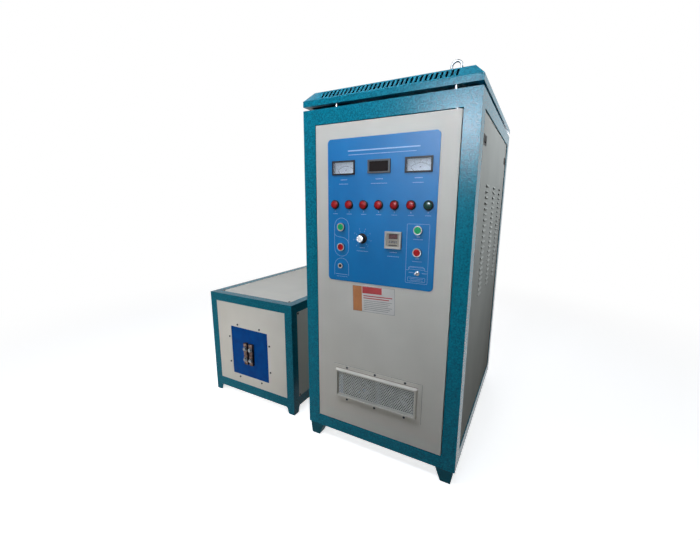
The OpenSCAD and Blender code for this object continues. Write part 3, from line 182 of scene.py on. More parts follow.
# Blackened steel of the cover screws
black_steel = finish("blackened_steel", ("#2a2b2c", "#4a4c4d"), grain=3, depth=0.03,
                     rough=(0.35, 0.5), metallic=0.8)
# Milled aluminium of the cooling plate, with fine straight tool marks
aluminium = finish("milled_aluminium", ("#a6a9ab", "#c2c5c6"), grain=2, depth=0.03,
                   rough=(0.3, 0.45), stretch=(0.05, 1, 1), metallic=1.0)
# Turned brass of the hose fittings
brass = finish("turned_brass", ("#a98743", "#c9a964"), grain=8, depth=0.02, rough=(0.22, 0.35), metallic=1.0)
# Black ABS with a fine moulded grain
black_abs = finish("black_moulded_plastic", ("#0e0f10", "#1a1b1d"), grain=1.2, depth=0.03,
                   rough=(0.35, 0.5), specular=0.12)
# Dark grey ABS of the display
grey_abs = finish("grey_moulded_plastic", ("#30363a", "#3b4145"), grain=1.2, depth=0.03,
                  rough=(0.4, 0.5), specular=0.25)
# Beige ABS of the timer and the breaker's lever
beige_abs = finish("beige_moulded_plastic", ("#a3a096", "#b1aea4"), grain=1.5, depth=0.03, rough=(0.4, 0.5))
# Blue plastic of the capacitors' cans
can_blue = finish("blue_capacitor_can", ("#37648f", "#44739d"), grain=20, rough=(0.3, 0.4))
# Printed dial card, pale bluish white
dial_card = finish("dial_card", ("#e0eaf6", "#eaf2fb"), grain=40, rough=(0.5, 0.6))
# Near-black tinted window of the display
dark_window = finish("smoked_window", ("#100b0c", "#1b1113"), grain=30, rough=(0.06, 0.12), specular=0.18)
# Red tinted window of the timer
red_window = finish("red_tinted_window", ("#250810", "#36101a"), grain=20, rough=(0.1, 0.18))
# Red polycarbonate lens: unlit, with light soaking into it a little
red_lens = finish("red_lens", ("#980a10", "#ac1016"), grain=6, rough=(0.25, 0.35),
                  specular=0.12, sockets={"Subsurface Weight": 0.15, "Subsurface Radius": (0.004, 0.001, 0.001)})
# Green polycarbonate lens, unlit and so almost black
dark_green_lens = finish("dark_green_lens", ("#083a30", "#0d4a3c"), grain=6, rough=(0.2, 0.3), specular=0.2)
# Moulded button caps
red_cap = finish("red_button_cap", ("#ac0d14", "#bd131a"), grain=8, rough=(0.3, 0.4), specular=0.12)
green_cap = finish("green_button_cap", ("#059c5c", "#10ad6a"), grain=8, rough=(0.3, 0.4), specular=0.12)
# Pressed ferrite: dull dark grey
ferrite = finish("pressed_ferrite", ("#232323", "#343332"), grain=4, depth=0.1, rough=(0.7, 0.85))
# Silver lacquer on the power knob's cap
silver_cap = finish("silver_lacquered_cap", ("#c9cccd", "#e3e5e5"), grain=6, depth=0.02, rough=(0.2, 0.32),
                    metallic=0.6)
# Unlit bars of the timer's digits, dull red behind their window
dull_red = finish("dull_red_segments", ("#6b1c22", "#7d2529"), grain=2, rough=(0.4, 0.5))
# Brown-grey face in the timer's well
timer_face = finish("brown_grey_timer_face", ("#7f7668", "#8d8475"), grain=6, rough=(0.5, 0.6))
# A dark line in the joint round the intake's flange, and rust where its hood leaves the flange
dark_intake_seam = finish("dark_intake_seam", ("#4f4d48", "#77746d"), grain=40, rough=(0.7, 0.85))
rusty_joint = finish("rusty_joint", ("#6b4a35", "#927460"), grain=9, rough=(0.7, 0.85))
# Coated card, and its orange, red and grey print
card_paper = finish("coated_card", ("#c9c6c0", "#d4d1cb"), grain=60, rough=(0.3, 0.4))
card_orange = finish("orange_card_print", ("#a8642c", "#b87236"), grain=30, rough=(0.35, 0.45))
card_red = finish("red_card_print", ("#a3121b", "#b61c24"), grain=30, rough=(0.35, 0.45))
card_grey = finish("grey_card_print", ("#6f6d6b", "#8a8886"), grain=30, rough=(0.4, 0.5))
# Perforated steel of the intake, painted grey
mesh_grey = finish("painted_intake_mesh", ("#c6c8c2", "#dadcd6"), grain=25, rough=(0.45, 0.6))

# Clear acrylic over the dials: thin enough to show little but its gloss
clear = bpy.data.materials.new("clear_acrylic")
clear.use_nodes = True
for socket, value in {"Base Color": colour("#eaf3ff"), "Alpha": 0.16, "Roughness": 0.08,
                      "Specular IOR Level": 0.8}.items():
    clear.node_tree.nodes["Principled BSDF"].inputs[socket].default_value = value

# What each carried-over node is made of
NODE_FINISH = {
    hammered_teal: "front_frame rear_frame roof_cap",
    transformer_teal_shaded: "transformer_frame",
    foot_teal: "cabinet_feet",
    satin_white: "front_door rear_panel grille_frame transformer_front_cover transformer_top_cover "
                 "transformer_side_covers",
    shaded_side_coat: "right_side_panel left_side_panel",
    plate_blue: "control_plate",
    board_blue: "terminal_board",
    bare_copper: "output_terminals transformer_windings",
    eye_steel: "lifting_eyes",
    zinc: "roof_standoffs floor_pans hinge_pins mounting_plate toggle_lever",
    bolt_steel: "terminal_bolts",
    chrome: "button_bezels panel_bushes",
    black_steel: "left_needle right_needle grille_screws cover_screws",
    aluminium: "cooling_plate",
    brass: "water_fittings",
    black_abs: "latch_housings right_latches left_latches meter_housings lamp_bodies power_knob control_bodies "
               "fan_housings left_fan_rotor right_fan_rotor power_modules cable_glands",
    grey_abs: "display_housing main_breaker",
    beige_abs: "timer_housing breaker_lever",
    can_blue: "film_capacitors",
    dial_card: "meter_dials",
    dark_window: "readout_windows",
    clear: "meter_windows",
    red_lens: "red_lenses",
    dark_green_lens: "green_lens",
    red_cap: "left_red_button right_red_button",
    green_cap: "left_green_button right_green_button",
    ferrite: "ferrite_core",
    mesh_grey: "grille_mesh",
}
for material, names in NODE_FINISH.items():
    for name in names.split():
        slots = nodes[name].data.materials
        slots.clear()
        slots.append(material)


# Shapes

@contextmanager
def making(name, material, body, slot, replaced=()):
    """Makes a piece that rides on a body, from the shape that the block under it draws."""
    made = bmesh.new()
    yield made
    bmesh.ops.recalc_face_normals(made, faces=made.faces)
    mesh = bpy.data.meshes.new(name)
    made.to_mesh(mesh)
    made.free()
    mesh.materials.append(material)
    thing = bpy.data.objects.new(name, mesh)
    bpy.context.scene.collection.objects.link(thing)
    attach(thing, body)
    if replaced:
        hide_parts(*replaced)


def prism(made, outline, place, near, far):
    """A solid with one flat outline, from one distance out of the surface to another."""
    back = [made.verts.new(place(a, b, near)) for a, b in outline]
    front = [made.verts.new(place(a, b, far)) for a, b in outline]
    made.faces.new(front)
    made.faces.new(back[::-1])
    for i in range(len(outline)):
        j = (i + 1) % len(outline)
        made.faces.new((back[i], back[j], front[j], front[i]))


def block(made, place, a, b, width, height, near, far):
    """A plain bar or field, given by its middle and size."""
    w, h = width / 2, height / 2
    prism(made, [(a - w, b - h), (a + w, b - h), (a + w, b + h), (a - w, b + h)], place, near, far)


def stroke(made, points, width, place, near, far, closed=False):
    """A line of even width along points, as thin as a coat of print."""
    count = len(points)
    sides = [[], []]
    for i, (a, b) in enumerate(points):
        before = points[i - 1] if closed or i else None
        after = points[(i + 1) % count] if closed or i < count - 1 else None
        steps = []
        for start, end in ((before, (a, b)), ((a, b), after)):
            if start and end:
                step = Vector((end[0] - start[0], end[1] - start[1]))
                if step.length > 1e-9:
                    steps.append(step.normalized())
        along = sum(steps, Vector((0, 0))).normalized()
        normal = Vector((-along.y, along.x))
        reach = width / 2 / max(0.5, normal.dot(Vector((-steps[0].y, steps[0].x))))
        for side, sign in enumerate((-1, 1)):
            sides[side].append((a + normal.x * reach * sign, b + normal.y * reach * sign))
    rows = [[made.verts.new(place(a, b, c)) for a, b in side] for c in (near, far) for side in sides]
    spans = count if closed else count - 1
    for i in range(spans):
        j = (i + 1) % count
        left_back, right_back, left_front, right_front = ((row[i], row[j]) for row in rows)
        made.faces.new((left_front[0], left_front[1], right_front[1], right_front[0]))
        made.faces.new((left_back[0], right_back[0], right_back[1], left_back[1]))
        made.faces.new((left_back[0], left_back[1], left_front[1], left_front[0]))
        made.faces.new((right_back[0], right_front[0], right_front[1], right_back[1]))
    if not closed:
        for i in (0, count - 1):
            made.faces.new([rows[k][i] for k in (0, 1, 3, 2)])


def polar(a, b, radius, degrees):
    """A point at a distance from a middle, at an angle from straight right."""
    angle = math.radians(degrees)
    return a + radius * math.cos(angle), b + radius * math.sin(angle)


def arc(a, b, radius, start, end, steps=24):
    """Points along a part of a circle, between two angles in degrees."""
    return [polar(a, b, radius, start + (end - start) * i / steps) for i in range(steps + 1)]


def turned(made, profile, place, sides=40, flutes=0, cut=0.0, ring=False):
    """A turned shape through (radius, distance out), from the middle of one end to that of the other, or a ring."""
    rings = []
    for radius, out in profile:
        if radius == 0:
            rings.append([made.verts.new(place(0, 0, out))])
            continue
        row = []
        for i in range(sides):
            angle = 2 * math.pi * i / sides
            r = radius - cut * (0.5 + 0.5 * math.cos(flutes * angle))
            row.append(made.verts.new(place(r * math.cos(angle), r * math.sin(angle), out)))
        rings.append(row)
    for one, two in zip(rings, rings[1:] + (rings[:1] if ring else [])):
        for i in range(max(len(one), len(two))):
            j = (i + 1) % max(len(one), len(two))
            corners = [one[i % len(one)], one[j % len(one)], two[j % len(two)], two[i % len(two)]]
            corners = [v for k, v in enumerate(corners) if v not in corners[:k]]
            made.faces.new(corners)


def figures(made, words, size, place, a, b, near, far):
    """Plain figures, centred on a place, as a raised print."""
    text = bpy.data.curves.new("figures", "FONT")
    text.body = words
    text.size = size
    text.align_x, text.align_y = "CENTER", "CENTER"
    text.extrude = 0.5
    text.resolution_u = 3
    holder = bpy.data.objects.new("figures", text)
    flat = bpy.data.meshes.new_from_object(holder)
    start = len(made.verts)
    made.from_mesh(flat)
    made.verts.ensure_lookup_table()
    for vertex in made.verts[start:]:
        x, y, z = vertex.co
        vertex.co = place(a + x, b + y, far if z > 0 else near)
    bpy.data.objects.remove(holder)
    bpy.data.curves.remove(text)
    bpy.data.meshes.remove(flat)


def rounded_outline(a0, b0, a1, b1, radius, steps=6):
    """A rectangle with round corners, from its lower left to its upper right corner."""
    corners = [(a1 - radius, b0 + radius, -90), (a1 - radius, b1 - radius, 0), (a0 + radius, b1 - radius, 90),
               (a0 + radius, b0 + radius, 180)]
    return [p for a, b, start in corners for p in arc(a, b, radius, start, start + 90, steps)]


def soften(name, width):
    """Rounds the sharp edges of a carried-over node by a width in millimetres."""
    thing = nodes[name]
    weld = thing.modifiers.new("weld", "WELD")
    weld.merge_threshold = SAME_PLACE
    flat = thing.modifiers.new("flat faces", "DECIMATE")
    flat.decimate_type = "DISSOLVE"
    flat.angle_limit = math.radians(1)
    bevel = thing.modifiers.new("bevel", "BEVEL")
    bevel.width = width * MM
    bevel.segments = 2
    bevel.limit_method = "ANGLE"
    bevel.angle_limit = math.radians(35)
    bevel.harden_normals = False


# Layout of the control plate, in millimetres from its middle

METER_X, METER_Z = 132, 149.5
LAMP_X = [1.5 + (i - 3) * 55.6 for i in range(7)]
LAMP_Z = 26.7
LEFT_X = -139.7      # middle of the left pair of buttons and of the arch under it
RIGHT_X = 140        # middle of the captions of the right pair
ARCH = 29            # radius of the outlines on the left
KNOB = (-57.7, -87)
TIMER = (57, -86.5)
SOCKET = (-141.6, -189)
PLATE_PRINT = (0.02, 0.2)    # the print's back and front, out of the plate
DIAL_PRINT = (0.02, 0.15)    # the same on the meter dials
DASHES, DASH_GAP = (2.4, 1.5, 3.1, 1.9, 2.7), 0.9

knob_place = shifted(plate, *KNOB)
timer_place = shifted(plate, *TIMER)
socket_place = shifted(plate, *SOCKET)


def line(made, points, width=0.9, closed=False):
    """A line of screen print on the plate."""
    stroke(made, points, width, plate, *PLATE_PRINT, closed)


def dashes(made, a, b, width, height=1.5):
    """A caption's place, held by a row of small dashes."""
    at, i = a - width / 2, 0
    while at < a + width / 2:
        length = DASHES[i % len(DASHES)]
        block(made, plate, at + length / 2, b, length, height, *PLATE_PRINT)
        at += length + DASH_GAP
        i += 1


def button_lines(made):
    """Outlines round the buttons, the foot switch socket and the toggle switch."""
    upper, lower, socket, foot = -48.6, -126, -191, -225
    left, right = LEFT_X - ARCH, LEFT_X + ARCH
    # A pill round the left pair, parted between them by an S-curve
    line(made, arc(LEFT_X, upper, ARCH, 0, 180) + arc(LEFT_X, lower, ARCH, 180, 360), closed=True)
    line(made, [(left, -74), (-166, -80), (-158, -84.5), (-148, -86), (-138, -87), (-126, -90), (-116, -97),
                (-111.5, -108)])
    # An arch round the foot switch socket
    line(made, [(left, foot)] + arc(LEFT_X, socket, ARCH, 180, 0) + [(right, foot)])
    # A frame round the right pair, and a tabbed one round the toggle switch
    line(made, rounded_outline(102.5, -222.5, 175.5, -31.5, 3), closed=True)
    line(made, [(103.5, -180), (112, -180), (112, -172), (118, -168), (160, -168), (166, -172), (166, -180),
                (174.5, -180)])
    line(made, rounded_outline(114, -177, 164, -170.5, 2), closed=True)
    line(made, rounded_outline(110, -217, 168, -203.5, 2), closed=True)


def knob_scale(made):
    """Eight ticks and figures round the knob, from its lower left over its top to its lower right."""
    first, sweep = 230, 280
    for i in range(8):
        degrees = first - sweep * i / 7
        line(made, [polar(*KNOB, r, degrees) for r in (23, 27.5)], 0.8)
        figures(made, str(i), 5.5, plate, *polar(*KNOB, 34, degrees), *PLATE_PRINT)


def captions(made):
    """Figures that say nothing but a number or a switch's state, and dashes for all other words."""
    for i, x in enumerate(LAMP_X):
        figures(made, str(i + 1), 8, plate, x, 3.5, *PLATE_PRINT)
    for words, b in (("ON", -71.5), ("OFF", -142)):
        figures(made, words, 7, plate, RIGHT_X, b, *PLATE_PRINT)
    for x in (-METER_X, 0, METER_X):
        dashes(made, x, 110, 22, 1.95)
        dashes(made, x, 96, 34 if x else 56, 1.65)
    for x in LAMP_X:
        dashes(made, x, -5, 18)
    # Under the socket, round the toggle switch, and under the right buttons, the knob and the timer
    for row in ((LEFT_X, -221, 48), (-137, -229, 44, 1.2),
                (120, -188, 13, 2.25), (164, -188, 13, 2.25), (139, -208, 44, 1.35), (139, -213, 40, 1.2),
                (RIGHT_X, -80, 32, 1.35), (RIGHT_X, -151, 32, 1.35),
                (KNOB[0], -119, 18), (KNOB[0], -131, 42),
                (TIMER[0], -127, 24, 1.65), (TIMER[0], -141, 40)):
        dashes(made, *row)


def meter_scale(made, side, step):
    """Arc, ticks and figures of one dial, round a pivot below its window."""
    pivot, radius, first, last = -40, 46, 48, 132
    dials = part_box("meter_dials")[0]
    window = facing((plate(side * METER_X, 0).x, dials.y, plate(0, METER_Z).z))
    stroke(made, arc(0, pivot, radius, first, last, 30), 0.7, window, *DIAL_PRINT)
    for i in range(21):
        degrees = first + (last - first) * i / 20
        ends = (radius, 49 if i % 5 else 52)
        stroke(made, [polar(0, pivot, r, degrees) for r in ends], 0.5, window, *DIAL_PRINT)
    for i in range(5):
        angle = math.radians(last - (last - first) * i / 4)
        figures(made, str(i * step), 4.2, window, 55 * math.cos(angle), pivot - 0.5 + 55.5 * math.sin(angle),
                *DIAL_PRINT)
    block(made, window, 0, -6, 5, 2.2, *DIAL_PRINT)


with making("plate_print", print_white, "door", "dial_white") as made:
    # Two rules in the place of a heading
    block(made, plate, 10, 203, 250, 3.6, *PLATE_PRINT)
    block(made, plate, 5, 190, 236, 1.4, *PLATE_PRINT)
    captions(made)
    button_lines(made)
    knob_scale(made)

with making("meter_scales", print_black, "door", "dial_white") as made:
    meter_scale(made, -1, 25)
    meter_scale(made, 1, 50)


# Lamps: low domed lenses with a rounded edge, and a black rim round each

LENS = [(0, 4.95), (12.0, 4.95), (12.5, 5.5), (12.4, 7.0), (11.6, 8.1), (9.0, 9.1), (5.0, 9.7), (0, 9.9)]
RIM = [(12.7, 0.05), (15.6, 0.05), (15.6, 4.4), (14.9, 5.6), (13.4, 6.0), (12.7, 5.6)]
lamp_places = [shifted(plate, x, LAMP_Z) for x in LAMP_X]

with making("red_lamp_lenses", red_lens, "door", "red_plastic", ["red_lenses"]) as made:
    for place in lamp_places[:-1]:
        turned(made, LENS, place, sides=48)
with making("green_lamp_lens", dark_green_lens, "door", "dark_green", ["green_lens"]) as made:
    turned(made, LENS, lamp_places[-1], sides=48)
with making("lamp_rims", black_abs, "door", "black_plastic") as made:
    for place in lamp_places:
        turned(made, RIM, place, sides=48, ring=True)


# Power knob: a black skirt and body under a fluted silver cap, with a pointer line

SKIRT = [(0, 2.95), (8.0, 2.95), (8.0, 0.35), (17.6, 0.35), (18.0, 0.8), (18.0, 3.6), (16.8, 5.0), (14.2, 5.4),
         (13.6, 6.5), (12.6, 15.6), (12.0, 16.3), (0, 16.3)]
CAP = [(0, 16.35), (11.9, 16.35), (11.9, 20.2), (11.1, 21.3), (9.6, 21.7), (8.8, 21.2), (0, 21.0)]

with making("knob_skirt", black_abs, "power_knob_body", "black_plastic", ["power_knob"]) as made:
    turned(made, SKIRT, knob_place, sides=120, flutes=24, cut=0.35)
    block(made, knob_place, 0, 15.4, 1.6, 3.2, 4.6, 5.35)
with making("knob_cap", silver_cap, "power_knob_body", "bright_metal", ["power_knob"]) as made:
    turned(made, CAP, knob_place, sides=120, flutes=30, cut=0.7)
with making("knob_pointer", black_steel, "power_knob_body", "black_plastic", ["power_knob"]) as made:
    block(made, knob_place, 0, 6.2, 1.2, 7.5, 21.05, 21.5)


# Foot switch socket: a black insert with three contacts deep in the chromed shell

INSERT = [(0, 0.1), (5.9, 0.1), (5.9, 7.6), (5.3, 7.6), (5.3, 1.6), (0, 1.6)]
CONTACT = [(0, 1.65), (0.8, 1.65), (0.8, 5.2), (0.5, 5.6), (0, 5.6)]
CONTACT_CIRCLE = 2.8

with making("socket_insert", black_abs, "door", "black_plastic") as made:
    turned(made, INSERT, socket_place, sides=40)
    for i in range(3):
        turned(made, CONTACT, shifted(socket_place, *polar(0, 0, CONTACT_CIRCLE, 90 + 120 * i)), sides=12)


# Windows of the display and the timer, one smoked and one tinted red

with making("display_window", dark_window, "door", "dark_window", ["readout_windows"]) as made:
    prism(made, rounded_outline(-32.8, 133.7, 32.8, 165.3, 0.8, 3), plate, 2.75, 4.2)
with making("timer_window", red_window, "door", "dark_window", ["readout_windows"]) as made:
    prism(made, rounded_outline(-15.3, 3.7, 15.3, 20.3, 0.8, 3), timer_place, 3.55, 5.0)


# Timer: four unlit digits, four black setting wheels with figures, and a face round the window and the wheels

DIGIT_PITCH, WHEEL_PITCH, WHEEL_Z = 7, 8, -6
FACE_BARS = [(-19, 0, 6.4, 43.4), (19, 0, 6.4, 43.4), (0, 21.1, 31.6, 1.2), (0, 0.4, 31.6, 5.6),
             (0, -12.2, 31.6, 5.2), (0, -20.3, 31.6, 2.8), (-14.8, -6, 2, 7.2), (14.8, -6, 2, 7.2),
             (-8, -6, 2.3, 7.2), (0, -6, 2.3, 7.2), (8, -6, 2.3, 7.2)]

with making("timer_segments", dull_red, "door", "red_plastic") as made:
    for i in range(4):
        x = (i - 1.5) * DIGIT_PITCH
        for b in (6.5, 12, 17.5):
            block(made, timer_place, x, b, 3.4, 0.8, 5.02, 5.12)
        for a, b in ((-2.1, 9.2), (2.1, 9.2), (-2.1, 14.8), (2.1, 14.8)):
            block(made, timer_place, x + a, b, 0.8, 4.2, 5.02, 5.12)
with making("timer_wheels", black_abs, "door", "black_plastic") as made:
    for i in range(4):
        prism(made, rounded_outline(-2.6, -3.4, 2.6, 3.4, 0.5, 2),
              shifted(timer_place, (i - 1.5) * WHEEL_PITCH, WHEEL_Z), 3.05, 4.3)
    prism(made, rounded_outline(-15.5, -18.6, 15.5, -15.2, 1, 3), timer_place, 5.0, 5.5)
with making("timer_figures", dial_card, "door", "dial_white") as made:
    for i in range(4):
        figures(made, "0", 3.8, timer_place, (i - 1.5) * WHEEL_PITCH, WHEEL_Z, 4.3, 4.42)
with making("timer_face", timer_face, "door", "beige_plastic") as made:
    for bar in FACE_BARS:
        block(made, timer_place, *bar, 5.0, 5.2)


# Intake: its seams, and a mesh of perforated sheet

HOOD_TOP, HOOD_WIDTH = 59.6, 326
MESH_PITCH, MESH_HOLE = 7.2, 2.9     # between holes, and from a hole's middle to its corners


def perforated(made, place, width, height, pitch, hole, near, far):
    """A sheet of hexagonal cells in staggered rows, each with a hexagonal hole, kept inside a rectangle."""
    corners = [polar(0, 0, 1, 30 + 60 * k) for k in range(6)]
    reach, rise = pitch / math.sqrt(3), pitch * math.sqrt(3) / 2
    rows, columns = int(height / 2 / rise), int(width / 2 / pitch)
    known = {}

    def corner(a, b, c):
        """The vertex at a place, made once and shared by the cells round it."""
        a, b = max(-width / 2, min(width / 2, a)), max(-height / 2, min(height / 2, b))
        key = (round(a, 2), round(b, 2), c)
        if key not in known:
            known[key] = made.verts.new(place(a, b, c))
        return known[key]

    for j in range(-rows, rows + 1):
        for i in range(-columns, columns + 1):
            a, b = (i + (j % 2) / 2) * pitch, j * rise
            if abs(a) > width / 2 - pitch / 2 or abs(b) > height / 2 - pitch / 2:
                continue
            rings = [[corner(a + r * x, b + r * z, c) for x, z in corners]
                     for r, c in ((reach, near), (hole, near), (hole, far), (reach, far))]
            for one, two in zip(rings, rings[1:]):
                for k in range(6):
                    face = (one[k], one[(k + 1) % 6], two[(k + 1) % 6], two[k])
                    if len(set(face)) == 4:
                        made.faces.new(face)


flange_low, flange_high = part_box("grille_frame")
# The joint's middle runs half a millimetre outside the flange
half_w, half_h = (flange_high.x - flange_low.x) / 2 / MM + 0.5, (flange_high.z - flange_low.z) / 2 / MM + 0.5
grille = middle("grille_frame")
wall = facing((grille.x, CABINET.y, grille.z))
with making("flange_joint", dark_intake_seam, "door", "off_white") as made:
    stroke(made, [(-half_w, -half_h), (half_w, -half_h), (half_w, half_h), (-half_w, half_h)], 1.0,
           wall, 0.02, 0.25, closed=True)
with making("hood_joint", rusty_joint, "door", "off_white") as made:
    block(made, wall, 0, HOOD_TOP, HOOD_WIDTH, 1.6, 2.02, 2.2)

mesh_low, mesh_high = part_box("grille_mesh")
mesh_size = (mesh_high - mesh_low) / MM
mesh_place = facing(((mesh_low.x + mesh_high.x) / 2, mesh_high.y, (mesh_low.z + mesh_high.z) / 2))
with making("intake_mesh", mesh_grey, "door", "zinc_steel", ["grille_mesh"]) as made:
    perforated(made, mesh_place, mesh_size.x - 0.4, mesh_size.z - 0.4, MESH_PITCH, MESH_HOLE, 0.0, mesh_size.y)


# Screws: pan heads with a cross recess, one on each place where the solids have a screw

def solids_of(node):
    """The separate solids of a carried-over node, as lists of points."""
    made = bmesh.new()
    made.from_mesh(nodes[node].data)
    bmesh.ops.remove_doubles(made, verts=made.verts, dist=SAME_PLACE)
    left, found = set(made.verts), []
    for first in made.verts:
        if first not in left:
            continue
        left.remove(first)
        front, island = [first], []
        while front:
            vertex = front.pop()
            island.append(vertex.co.copy())
            for edge in vertex.link_edges:
                other = edge.other_vert(vertex)
                if other in left:
                    left.remove(other)
                    front.append(other)
        found.append(island)
    made.free()
    return found


def cross_head(made, place, radius, high, shank, length):
    """A pan head on a shank, with a cross recess in its crown."""
    inner = radius * 0.62
    turned(made, [(0, -length), (shank, -length), (shank, 0), (radius, 0), (radius, high * 0.45),
                  (radius * 0.88, high * 0.85), (inner, high), (inner, high * 0.35), (0, high * 0.35)], place, 28)
    # The recess is what four quadrants of the crown leave between them
    quadrant = [(0.16 * radius, 0.16 * radius)] + arc(0, 0, inner * 1.02, 16, 74, 6)
    for k in range(4):
        turn = math.radians(90 * k)
        outline = [(a * math.cos(turn) - b * math.sin(turn), a * math.sin(turn) + b * math.cos(turn))
                   for a, b in quadrant]
        prism(made, outline, place, high * 0.3, high * 1.02)


def screw(made, points):
    """A detailed screw in the place of a plain one, which its points give."""
    low = Vector([min(p[k] for p in points) for k in range(3)])
    high = Vector([max(p[k] for p in points) for k in range(3)])
    size, centre = high - low, (low + high) / 2
    # Across its axis a screw is equally wide both ways
    uneven = [abs(size[(k + 1) % 3] - size[(k + 2) % 3]) for k in range(3)]
    axis = uneven.index(min(uneven))
    radius = size[(axis + 1) % 3] / 2

    def off_axis(point):
        away = point - centre
        away[axis] = 0
        return away.length

    # The head is at the wide end, and faces out
    widest = max(points, key=off_axis)
    out = Vector((0, 0, 0))
    out[axis] = 1 if widest[axis] > centre[axis] else -1
    up = Vector((0, 0, 1)) if axis < 2 else Vector((0, 1, 0))
    levels = [(p - centre).dot(out) for p in points]
    crown, tip = round(max(levels), 5), round(min(levels), 5)
    seat = min(level for level, p in zip(levels, points) if off_axis(p) > radius * 0.85)
    below = [off_axis(p) for level, p in zip(levels, points) if level < seat - 0.3 * MM]
    cross_head(made, facing(centre + out * seat, up.cross(out), up), radius / MM, (crown - seat) / MM,
               min(below, default=radius * 0.5) / MM, max(0.5, (seat - tip) / MM))


for name, node, body in (("grille_screw_heads", "grille_screws", "door"),
                         ("cover_screw_heads", "cover_screws", "cabinets")):
    with making(name, black_steel, body, "dark_screws", [node]) as made:
        for points in solids_of(node):
            screw(made, points)


# Data card under the plate: a white card with an orange margin, a red head and ruled lines, and no words

CARD_W, CARD_H = 161.5, 94.0
CARD_PLACE, CARD_TILT = Vector((-16.3, 0, 617)), math.radians(1.7)
CARD_INK = (0.3, 0.36)
card = facing(CABINET + CARD_PLACE * MM, (math.cos(CARD_TILT), 0, math.sin(CARD_TILT)),
              (-math.sin(CARD_TILT), 0, math.cos(CARD_TILT)))

with making("data_card", card_paper, "door", "dial_white") as made:
    block(made, card, 0, 0, CARD_W, CARD_H, 0.0, 0.3)
with making("card_margin", card_orange, "door", "red_plastic") as made:
    block(made, card, -62, 0, 36, CARD_H - 2, *CARD_INK)
with making("card_head", card_red, "door", "red_plastic") as made:
    block(made, card, -4.5, 33, 75, 24, *CARD_INK)
    block(made, card, 17, 12, 110, 3.4, *CARD_INK)
    block(made, card, 11, 4, 98, 3.4, *CARD_INK)
with making("card_lines", card_grey, "door", "grey_plastic") as made:
    for i in range(6):
        block(made, card, 17 - (i % 3) * 3, -5 - i * 6.6, 108 - (i % 3) * 8, 1.6, *CARD_INK)
    edge_w, edge_h = CARD_W / 2 - 0.8, CARD_H / 2 - 0.8
    stroke(made, rounded_outline(-edge_w, -edge_h, edge_w, edge_h, 1), 1.0, card, 0.3, 0.37, closed=True)


# Rounded edges of the carried-over solids, in millimetres

ROUNDED = {"cabinet_feet": 1.5, "output_terminals": 1.5, "front_frame": 1.2, "rear_frame": 1.2,
           "transformer_frame": 1.2, "grille_frame": 1.0, "front_door": 0.8, "meter_housings": 0.7,
           "display_housing": 0.7, "timer_housing": 0.7, "roof_cap": 0.6, "control_plate": 0.6,
           "terminal_bolts": 0.6, "latch_housings": 0.5, "transformer_front_cover": 0.4,
           "transformer_top_cover": 0.4}
for name, width in ROUNDED.items():
    soften(name, width)


# Floor and room

FLOOR_HALF = 20                  # half the floor's width, in metres
FADE_FROM, FADE_TO = 1.3, 3.2    # metres from the middle, between which the floor fades into the backdrop
FLOOR_GLOW = 0.72                # of white: the lamps' light adds the rest, and only the shadow stays below it
ROOM_LIGHT = 0.32                # strength of the light that the room itself sheds on the machine

floor = bpy.data.meshes.new("floor")
floor.from_pydata([(a * FLOOR_HALF, b * FLOOR_HALF, 0) for a, b in ((-1, -1), (1, -1), (1, 1), (-1, 1))], [],
                  [(0, 1, 2, 3)])
floor_thing = bpy.data.objects.new("floor", floor)
bpy.context.scene.collection.objects.link(floor_thing)


def seen(tree):
    """One for rays that the eye, a gloss or a glass sends, and zero for the rest."""
    path = add(tree, "ShaderNodeLightPath").outputs
    through = add(tree, "ShaderNodeMath", {0: path["Is Glossy Ray"], 1: path["Is Transmission Ray"]},
                  operation="MAXIMUM").outputs[0]
    return add(tree, "ShaderNodeMath", {0: path["Is Camera Ray"], 1: through}, operation="MAXIMUM").outputs[0]


# Studio floor: white to the eye, with a soft shadow round the machine, and dark to the light that bounces off it
studio_floor = bpy.data.materials.new("studio_floor")
studio_floor.use_nodes = True
tree = studio_floor.node_tree
tree.nodes.clear()
from_middle = add(tree, "ShaderNodeVectorMath", {0: add(tree, "ShaderNodeTexCoord").outputs["Object"]},
                  operation="LENGTH").outputs["Value"]
away = add(tree, "ShaderNodeMapRange", {"Value": from_middle, "From Min": FADE_FROM, "From Max": FADE_TO},
           interpolation_type="SMOOTHSTEP").outputs["Result"]
glow = add(tree, "ShaderNodeEmission", {"Color": colour("#ffffff"), "Strength": FLOOR_GLOW})
bright = add(tree, "ShaderNodeBsdfDiffuse", {"Color": colour("#f0f0f0")})
lit = add(tree, "ShaderNodeAddShader", {0: glow.outputs[0], 1: bright.outputs[0]})
backdrop = add(tree, "ShaderNodeEmission", {"Color": colour("#ffffff"), "Strength": 1.0})
to_eye = add(tree, "ShaderNodeMixShader", {"Fac": away, 1: lit.outputs[0], 2: backdrop.outputs[0]})
dull = add(tree, "ShaderNodeBsdfDiffuse", {"Color": colour("#62584b")})
mixed = add(tree, "ShaderNodeMixShader", {"Fac": seen(tree), 1: dull.outputs[0], 2: to_eye.outputs[0]})
add(tree, "ShaderNodeOutputMaterial", {"Surface": mixed.outputs[0]})
floor.materials.append(studio_floor)

